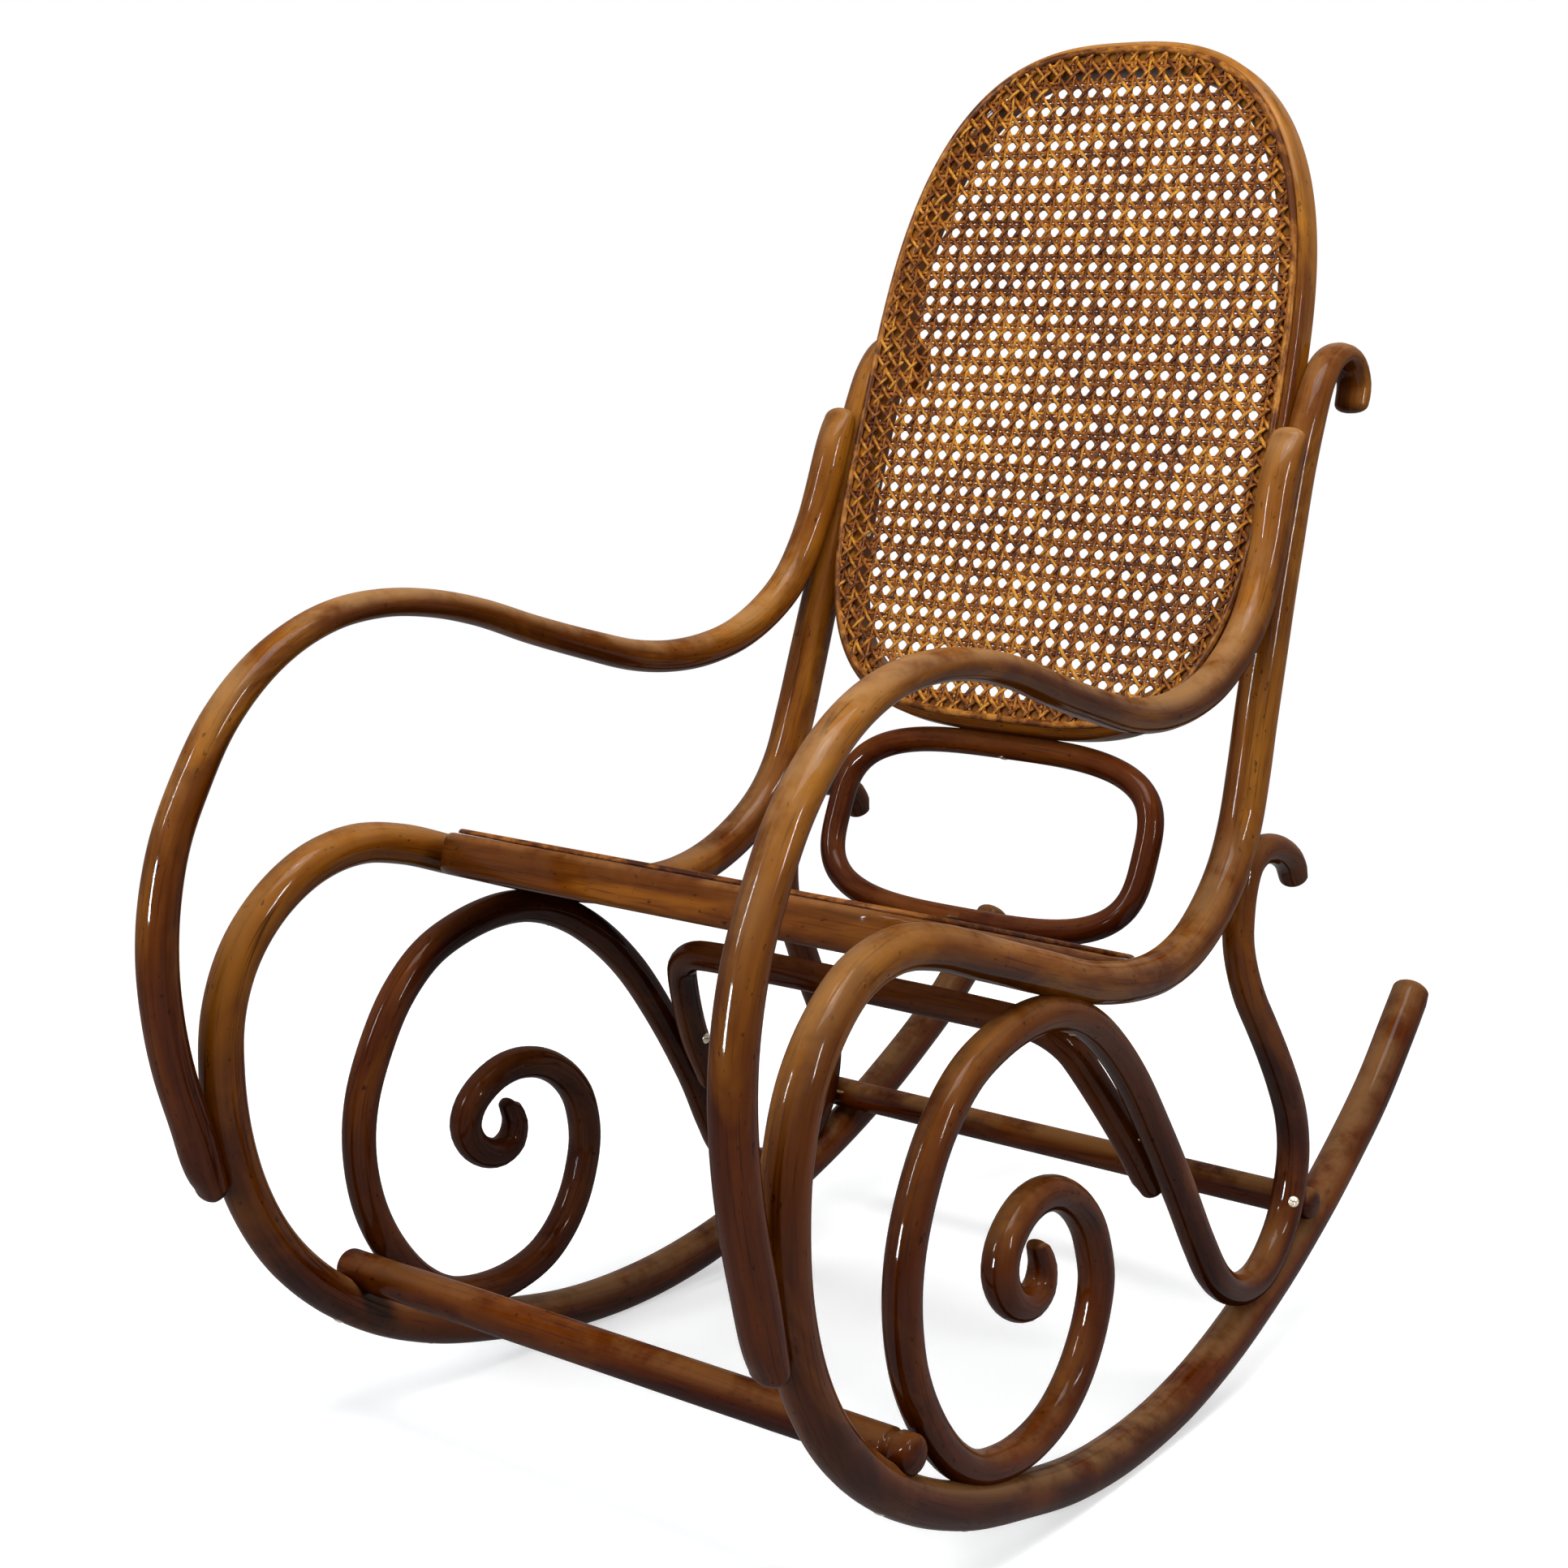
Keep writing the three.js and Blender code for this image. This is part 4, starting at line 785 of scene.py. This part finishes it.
# Rods of the side frames
def add_pair(name, path, slot, materials, seeds, cap=ROD_CAP, lean=0.0):
    for side, material, seed in zip(("left", "right"), materials, seeds):
        verts, faces, grain = sweep_rod(path, seed, cap, lean)
        # The rocker's worn flat lies on the floor
        verts[:, 2] = np.maximum(verts[:, 2], 0.0)
        if side == "right":
            verts = verts * MIRROR
            faces = [face[::-1] for face in faces]
        add_piece(f"{name}_{side}_bent", [f"{name}_{side}"], slot, material, verts, faces, grain)


def add_side_rods():
    add_pair("side_rod", rail, "outer_wood", (outer_wood, outer_wood), (1, 2))


def add_arms():
    add_pair("arm", arm, "outer_wood", (arm_wood, arm_wood), (3, 4), ARM_CAP, ARM_LEAN)


def add_scrolls():
    # Painted shade: the far (right) scroll takes the darker inner wood, standing in for the shade it lies
    # in
    add_pair("scroll", scroll, "inner_wood", (scroll_wood, inner_wood), (5, 6))


# Seat ring, back frame and oval
def add_seat_ring():
    stations = seat_stations(SEAT_RAIL_WIDTH / 2, -SEAT_RAIL_THICKNESS / 2)
    section = rounded_box(SEAT_RAIL_WIDTH, SEAT_RAIL_THICKNESS, SEAT_EDGE_ROUNDING)
    add_piece("seat_ring_bent", ["seat_ring"], "inner_wood", seat_wood,
              *sweep_loop(stations, section, 11, rearmost))


def add_back_frame():
    stations = back_stations(BACK_RAIL_WIDTH / 2, 0)
    section = rounded_box(BACK_RAIL_WIDTH, BACK_RAIL_DEPTH, BACK_EDGE_ROUNDING)
    add_piece("back_frame_bent", ["back_frame"], "outer_wood", outer_wood,
              *sweep_loop(stations, section, 12, lowest))


def add_oval():
    section = np.column_stack(circle(OVAL_SIDES)) * OVAL_DIAMETER / 2
    add_piece("back_oval_bent", ["back_oval"], "inner_wood", inner_wood,
              *sweep_loop(oval_stations(), section, 13, lowest))


# Brace: an inverted U whose feet lie against the scrolls' legs
def add_brace():
    middle, _, across, _, radius, _ = scroll.at(BRACE_ROW)
    foot = middle - across * (radius + BRACE_DIAMETER / 2 - LET_IN)
    knee = foot + BRACE_KNEE
    corner = foot + [-BRACE_SPLAY, -BRACE_FORWARD, BRACE_RISE]
    drop = unit(knee - corner)
    bend_centre = corner - LEFT * BRACE_BEND + drop * BRACE_BEND
    half = [bend_centre + LEFT * math.sin(a) * BRACE_BEND - drop * math.cos(a) * BRACE_BEND
            for a in (k / BEND_STEPS * math.pi / 2 for k in range(BEND_STEPS + 1))]
    half += [knee, foot - unit(foot - knee) * BRACE_FOOT_ROUNDING]
    points = [p * MIRROR for p in half][::-1] + half
    even = [1.0] * len(points)
    brace = RodPath(points, even, even, unit(np.cross(LEFT, drop)), BRACE_DIAMETER)
    add_piece("seat_brace_bent", ["seat_brace"], "inner_wood", inner_wood, *sweep_rod(brace, 14, BRACE_CAP))


# Stretchers
def round_end(start, reach, radius, first_step=0):
    turns = [k / END_STEPS * math.pi / 2 for k in range(first_step, END_STEPS)]
    return [(start + reach * math.sin(a), radius * math.cos(a) ** END_FULLNESS) for a in turns]


def front_stretcher_profile():
    place, _, _, _, rod_radius, _ = rail.at(FRONT_STRETCHER_ROW)
    cap_start = place[0] + rod_radius - CAP_SET_IN - CAP_LENGTH
    waist = FRONT_STRETCHER_WAIST / 2
    belly = FRONT_STRETCHER_DIAMETER / 2
    taper_start = SIDE_HALF_WIDTH * TAPER_START_SHARE
    taper_length = cap_start - CAP_NECK - taper_start
    right_half = [(x, belly) for x in BELLY_PLACES] + [(taper_start, belly - BELLY_EASING)]
    for k in range(1, TAPER_STEPS + 1):
        w = k / TAPER_STEPS
        eased = 3 * w ** 2 - 2 * w ** 3
        right_half.append((taper_start + taper_length * w, belly + (waist - belly) * eased))
    for k in range(-GROOVE_STEPS, GROOVE_STEPS + 1):
        cut = CAP_GROOVE_DEPTH * math.cos(k / GROOVE_STEPS * math.pi / 2) ** GROOVE_FULLNESS
        right_half.append((cap_start + CAP_GROOVE_WIDTH * k / GROOVE_STEPS, waist - cut))
    right_half.append((cap_start + CAP_LENGTH - CAP_EDGE, waist))
    right_half += round_end(cap_start + CAP_LENGTH, CAP_ROUNDING, waist)
    # The groove is turned only at the sitter's left end
    left_half = [(x, waist if abs(x - cap_start) < CAP_GROOVE_WIDTH else r) for x, r in right_half]
    return both_halves(left_half, right_half)


def add_front_stretcher():
    crossing = beside(rail, FRONT_STRETCHER_ROW, 1, FRONT_STRETCHER_WAIST, NOTCH_DEPTH)
    # Painted shade: the front stretcher takes the darker copy of the cross rod's wood
    add_piece("stretcher_front_turned", ["stretcher_front"], "inner_wood", front_rod_painted_shade_wood,
              *turned(front_stretcher_profile(), crossing, 15))


def add_rear_stretcher():
    crossing = beside(scroll, REAR_STRETCHER_ROW, 1, REAR_STRETCHER_DIAMETER, LET_IN)
    radius = REAR_STRETCHER_DIAMETER / 2
    length = crossing[0] + SCROLL_DIAMETER / 2 + REAR_STRETCHER_OVERHANG - radius / 2
    half = [(length * k / REAR_STEPS, radius) for k in range(REAR_STEPS + 1)]
    half += round_end(length, radius / 2, radius, first_step=1)
    add_piece("stretcher_rear_turned", ["stretcher_rear"], "inner_wood", cross_wood,
              *turned(both_halves(half, half), crossing, 16))


# Cane: strands cut to the panel's outline
STRAND_PITCH = 14.1
PAIR_OFFSET = 1.8
STRAND_THICKNESS = 1.3
CANE_BASE = 1.7
SHORTEST_STRAND = 4.0
STRAND_SWAY = 0.16
STRAND_WIDTH_RANGE = (0.92, 1.06)
STRAND_TOP_SHARE = 0.45
BACK_PANEL_COUNT = 240
SEAT_PANEL_COUNT = 200
STRAND_STEP = STRAND_PITCH / 4
PAIR_LIFT = 0.4
DIAGONAL_LIFT = 0.35
TONE_SPREAD = 0.1
SLANT = math.sqrt(0.5)
# Kinds of strands: width, tone, how far they swing up and down, and their waves in two pitches
UPRIGHT = (3.0, 0.48, 0.25, 1)
CROSSWISE = (3.0, 0.3, 0.24, 2)
DIAGONAL = (3.1, 0.62, 0.9, 2 * SLANT)


def clip_line(origin, direction, loop):
    low, high = -1e9, 1e9
    edge = np.roll(loop, -1, axis=0) - loop
    inner = np.column_stack([-edge[:, 1], edge[:, 0]])
    ahead = inner @ direction
    offset = np.einsum("ij,ij->i", inner, loop - origin)
    for a, o in zip(ahead, offset):
        if abs(a) < 1e-12:
            if o > 0:
                return None
        elif a > 0:
            low = max(low, o / a)
        else:
            high = min(high, o / a)
    return (low, high) if high - low > SHORTEST_STRAND else None


class Weave:
    def __init__(self, loop, place, base, seed):
        self.loop = loop
        self.place = place
        self.base = base
        self.rng = np.random.default_rng(seed)
        self.verts, self.quads, self.grain, self.tone = [], [], [], []
        self.total = 0

    def strand(self, origin, direction, kind, lift=0.0, sign=1):
        span = clip_line(origin, direction, self.loop)
        if span is None:
            return
        width, tone, swing, waves = kind
        rng = self.rng
        count = max(int((span[1] - span[0]) / STRAND_STEP), 2) + 1
        t = np.linspace(span[0], span[1], count)
        side = np.array([-direction[1], direction[0]])
        sway = wander(t * 6 + rng.uniform(0, 500), int(rng.integers(1 << 30)), STRAND_SWAY)
        middle_line = origin + np.outer(t, direction) + np.outer(sway, side)
        w = width / 2 * rng.uniform(*STRAND_WIDTH_RANGE)
        h = STRAND_THICKNESS / 2
        top = w * STRAND_TOP_SHARE
        section = np.array([(-w, 0.0), (-top, h), (top, h), (w, 0.0), (0.0, -h)])
        height = lift + sign * swing * np.cos(math.pi * t * waves / STRAND_PITCH)
        rows = []
        for u, v in section:
            flat = middle_line + side * u
            rows.append(self.place(flat[:, 0], flat[:, 1], self.base + height + v))
        sides = len(section)
        self.verts.append(np.stack(rows, axis=1).reshape(-1, 3))
        self.quads.append(strip_faces(count, sides) + self.total)
        self.grain.append(ring_grain(*section.T, t) + rng.uniform(0, 9000))
        self.tone.append(np.full(count * sides, np.clip(rng.normal(tone, TONE_SPREAD), 0, 1)))
        self.total += count * sides

    def weave(self):
        # Pairs up and across pass over and under each other, and diagonals run through both
        p = STRAND_PITCH
        low, high = self.loop.min(0), self.loop.max(0)
        middle = (low + high) / 2
        k = int(float(np.abs(high - low).max()) / p) + 2
        for i in range(-k, k + 1):
            for sign in (-1, 1):
                place = i * p + sign * PAIR_OFFSET
                self.strand(middle + [place, 0], np.array([0.0, 1.0]), UPRIGHT, lift=sign * PAIR_LIFT)
                self.strand(middle + [0, place], np.array([1.0, 0.0]), CROSSWISE, sign=-sign)
        for i in range(-2 * k, 2 * k + 1):
            for sign in (1, -1):
                self.strand(middle + [0, (i + 0.5) * p], np.array([SLANT, sign * SLANT]), DIAGONAL,
                            DIAGONAL_LIFT, sign)

    def add(self, name, node, material):
        self.weave()
        add_piece(name, [node], "cane", material, np.vstack(self.verts) + SHIFT,
                  np.vstack(self.quads).tolist(), np.vstack(self.grain), np.concatenate(self.tone))


def add_cane_panels():
    back = Weave(back_loop(BACK_BINDING_INSET, BACK_PANEL_COUNT), back_place, back_face + CANE_BASE, 21)
    back.add("back_cane_woven", "back_cane", back_strands)
    seat = Weave(seat_loop(SEAT_BINDING_INSET, SEAT_PANEL_COUNT), seat_place, CANE_BASE, 22)
    seat.add("seat_cane_woven", "seat_cane", seat_strands)


# Binding strips: a rounded top over the strands' ends
STRIP_BASE = 2.0
STRIP_SECTION = [(-3.0, -1.6), (-2.9, 0.2), (-2.2, 1.2), (-1.1, 1.75), (0.0, 1.95), (1.1, 1.75), (2.2, 1.2),
                 (2.9, 0.2), (3.0, -1.6), (0.0, -1.7)]
# The strip's tone, and the waves in it: their size, and their turn in radians to the millimetre
STRIP_TONE = 0.45
STRIP_TONE_WAVES = ((0.25, 0.021), (0.15, 0.13))


def add_binding(name, stations, node, seed, seam_key, material):
    verts, faces, grain = sweep_loop(stations, STRIP_SECTION, seed, seam_key)
    tone = sum((size * np.sin(grain[:, 2] * wave) for size, wave in STRIP_TONE_WAVES), STRIP_TONE)
    add_piece(name, [node], "cane_binding", material, verts, faces, grain, tone)


def add_bindings():
    back = back_stations(BACK_BINDING_INSET, back_face + STRIP_BASE)
    add_binding("back_binding_strip", back, "back_cane_binding", 31, lowest, back_strip)
    seat = seat_stations(SEAT_BINDING_INSET, STRIP_BASE)
    add_binding("seat_binding_strip", seat, "seat_cane_binding", 32, rearmost, seat_strip)


# Screws: a domed head with a cross recess, on a shank, where the CAD has each one
HEAD_RADIUS = 4.5
HEAD_DOME = 1.2
HEAD_RINGS = [0.35 * k for k in range(1, 13)]
HEAD_SINK = 0.5
DEEP_SINK = 1.7
SCREW_SIDES = 48
SCREW_LENGTH = 39.0
RECESS_HALF_WIDTH = 0.5
RECESS_REACH = 2.9
RECESS_DEPTH = 1.1
# The recess would run out at this radius
RECESS_FADE = 3.6
# Painted shade in the cross recess: how quickly it darkens with the recess's depth, and how dark it gets
RECESS_PAINTED_SHADE_RATE = 2.5
RECESS_PAINTED_SHADE_DARKEST = 0.85
# Radius and depth of the rings below the dome; the first one still belongs to the head
SHANK_RINGS = [(4.5, 0.15), (3.6, 1.2), (2.0, 3.0), (2.0, 34.0), (0.3, 38.5)]
DEEP_HEADS = ("scroll_front", "front_stretcher", "oval_top")
# Varnish has darkened these heads, to this share of their tone
VARNISHED_HEADS = ("oval_top", "oval_seat", "seat_front")
VARNISHED_TONE = 0.12


def screw_place(node):
    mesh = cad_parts[node].data
    co = np.array([v.co for v in mesh.vertices]) / MM
    centre = co.mean(0)
    axis = unit(np.linalg.svd(co - centre, full_matrices=False)[2][0])
    along = (co - centre) @ axis
    spread = np.linalg.norm((co - centre) - np.outer(along, axis), axis=1)
    # The widest point is on the head, from which the axis runs down
    if along[np.argmax(spread)] > 0:
        axis, along = -axis, -along
    sunk = DEEP_SINK if node.startswith(DEEP_HEADS) else HEAD_SINK
    return centre + axis * (along.min() + sunk), axis


def add_screw(node, seed):
    head, axis = screw_place(node)
    u = unit(np.cross(axis, UP if abs(axis[2]) < 0.7 else LEFT))
    v = np.cross(axis, u)
    spin = np.random.default_rng(seed).uniform(0, math.pi / 2)
    a = np.arange(SCREW_SIDES) / SCREW_SIDES * 2 * math.pi

    def ring(radius, depth):
        return (head + np.outer(radius * np.cos(a), u) + np.outer(radius * np.sin(a), v)
                + np.outer(depth, axis))

    rings = []
    tones = []
    for r in HEAD_RINGS:
        dome = -HEAD_DOME * (1 - (r / HEAD_RADIUS) ** 2)
        off_cross = np.minimum(np.abs(r * np.cos(a + spin)), np.abs(r * np.sin(a + spin)))
        in_cross = (off_cross < RECESS_HALF_WIDTH) & (r < RECESS_REACH)
        recess = np.where(in_cross, RECESS_DEPTH * (1 - r / RECESS_FADE), 0.0)
        rings.append(ring(r, dome + recess))
        # Painted shade: the head's colour darkens where the cross recess is deep
        tones.append(1.0 - np.clip(recess * RECESS_PAINTED_SHADE_RATE, 0, 1) * RECESS_PAINTED_SHADE_DARKEST)
    for r, depth in SHANK_RINGS:
        rings.append(ring(r, np.full(SCREW_SIDES, depth)))
        tones.append(np.full(SCREW_SIDES, float(depth < 1)))
    verts = np.vstack(rings + [[head - axis * (HEAD_DOME - RECESS_DEPTH)], [head + axis * SCREW_LENGTH]])
    tone = np.concatenate(tones + [[1.0, 0.0]])
    if node.startswith(VARNISHED_HEADS):
        tone = tone * VARNISHED_TONE
    faces = outward_faces(verts, len(rings), SCREW_SIDES)
    add_piece(node + "_head", [node], "steel", steel, verts, faces, tone=tone)


def add_screws():
    for number, node in enumerate(sorted(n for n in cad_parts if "screw" in n)):
        add_screw(node, number)


# Floor and world: where the background is seen it is pale, and elsewhere it throws little light
FLOOR_REACH = 14.0
# The shadow's floor turns into plain background between these distances
FLOOR_FADE = (1.0, 2.0)
FLOOR_GLOW = 0.5
WORLD_FILL = 0.22
WHITE = (1, 1, 1, 1)


def floor_material():
    t = material_tree("pale_floor")
    place = t.place()
    pale = t.mix(t.noise(place, 3.0), (0.74, 0.74, 0.74), (0.78, 0.78, 0.78))
    glow = t.add("Emission", {"Color": WHITE, "Strength": FLOOR_GLOW}).outputs[0]
    near = t.add("AddShader", {0: t.add("BsdfDiffuse", {"Color": pale}).outputs[0], 1: glow}).outputs[0]
    far = t.add("Emission", {"Color": WHITE, "Strength": 1.0}).outputs[0]
    away = t.add("VectorMath", {0: place}, operation="LENGTH").outputs["Value"]
    seen = t.add("MixShader", {0: t.span(away, *FLOOR_FADE), 1: near, 2: far}).outputs[0]
    bounce = t.add("BsdfDiffuse", {"Color": (0.09, 0.07, 0.055, 1)}).outputs[0]
    return t.finish(t.add("MixShader", {0: t.sees_background(), 1: bounce, 2: seen}).outputs[0])


def add_floor():
    mesh = bpy.data.meshes.new("floor")
    corners = [(x * FLOOR_REACH, y * FLOOR_REACH, 0) for x, y in ((-1, -1), (1, -1), (1, 1), (-1, 1))]
    mesh.from_pydata(corners, [], [(0, 1, 2, 3)])
    floor = bpy.data.objects.new("floor", mesh)
    bpy.context.scene.collection.objects.link(floor)
    mesh.materials.append(floor_material())


def add_world():
    world = bpy.data.worlds.new("studio")
    bpy.context.scene.world = world
    t = Tree(world, "OutputWorld")
    seen = t.add("Background", {"Color": WHITE, "Strength": 1.0}).outputs[0]
    fill = t.add("Background", {"Color": WHITE, "Strength": WORLD_FILL}).outputs[0]
    t.finish(t.add("MixShader", {0: t.sees_background(), 1: fill, 2: seen}).outputs[0])


# Lights: broad ones for the colour, and narrow ones that show only in the gloss
def add_light(name, place, target, size, power, colour=(1, 1, 1), kind="both"):
    light = bpy.data.lights.new(name, "AREA")
    light.shape = "RECTANGLE"
    light.size, light.size_y = size
    light.energy = power
    light.color = colour
    obj = bpy.data.objects.new(name, light)
    obj.location = place
    obj.rotation_euler = (Vector(target) - Vector(place)).to_track_quat("-Z", "Y").to_euler()
    obj.visible_diffuse = kind != "glossy"
    obj.visible_glossy = kind != "diffuse"
    bpy.context.scene.collection.objects.link(obj)


def add_lights():
    above = ((0.5, -0.5, 2.7), (0, 0.1, 0.6))
    window = ((-1.3, -3.0, 2.3), (0, 0, 0.5))
    side = ((3.0, -0.6, 1.9), (0, 0.1, 0.6))
    daylight = (0.95, 0.98, 1)
    add_light("overhead", *above, (1.3, 1.3), 55)
    add_light("window", *window, (0.6, 1.4), 40, daylight, "diffuse")
    add_light("low_window", (-0.3, -3.1, 0.7), (0, 0, 0.45), (1.0, 1.2), 30, (0.72, 0.86, 1), "diffuse")
    add_light("side", *side, (0.5, 1.4), 32, kind="diffuse")
    add_light("rear", (-0.4, 3.2, 1.9), (0, 0.2, 0.5), (2.2, 1.6), 45, kind="diffuse")
    add_light("window_gleam", *window, (0.14, 0.9), 380, daylight, "glossy")
    add_light("low_gleam", (-0.35, -3.1, 0.75), (0, 0, 0.45), (0.4, 0.8), 300, (0.7, 0.85, 1), "glossy")
    add_light("side_gleam", *side, (0.12, 0.9), 260, kind="glossy")
    add_light("overhead_gleam", *above, (0.35, 0.35), 70, kind="glossy")


# Camera: the photograph's view
PHOTO_WIDTH_PIXELS = 1932
FOCAL_LENGTH_PIXELS = 3239.2
SENSOR_WIDTH = 36.0
AZIMUTH = math.radians(38.0)
ELEVATION = math.radians(11.356)
CAMERA_PLACE = (1.154, -1.570 + SHIFT[1] * MM, 0.8718)


def add_camera():
    data = bpy.data.cameras.new("camera")
    data.sensor_width = SENSOR_WIDTH
    data.lens = FOCAL_LENGTH_PIXELS / PHOTO_WIDTH_PIXELS * SENSOR_WIDTH
    camera = bpy.data.objects.new("camera", data)
    forward = Vector((-math.sin(AZIMUTH) * math.cos(ELEVATION), math.cos(AZIMUTH) * math.cos(ELEVATION),
                      -math.sin(ELEVATION)))
    right = Vector((math.cos(AZIMUTH), math.sin(AZIMUTH), 0))
    turn = Matrix((right, right.cross(forward), -forward)).transposed().to_4x4()
    camera.matrix_world = Matrix.Translation(CAMERA_PLACE) @ turn
    bpy.context.scene.collection.objects.link(camera)
    bpy.context.scene.camera = camera


add_side_rods()
add_arms()
add_scrolls()
add_seat_ring()
add_back_frame()
add_oval()
add_brace()
add_front_stretcher()
add_rear_stretcher()
add_cane_panels()
add_bindings()
add_screws()
add_floor()
add_world()
add_lights()
add_camera()
bpy.context.scene.view_settings.view_transform = "Standard"
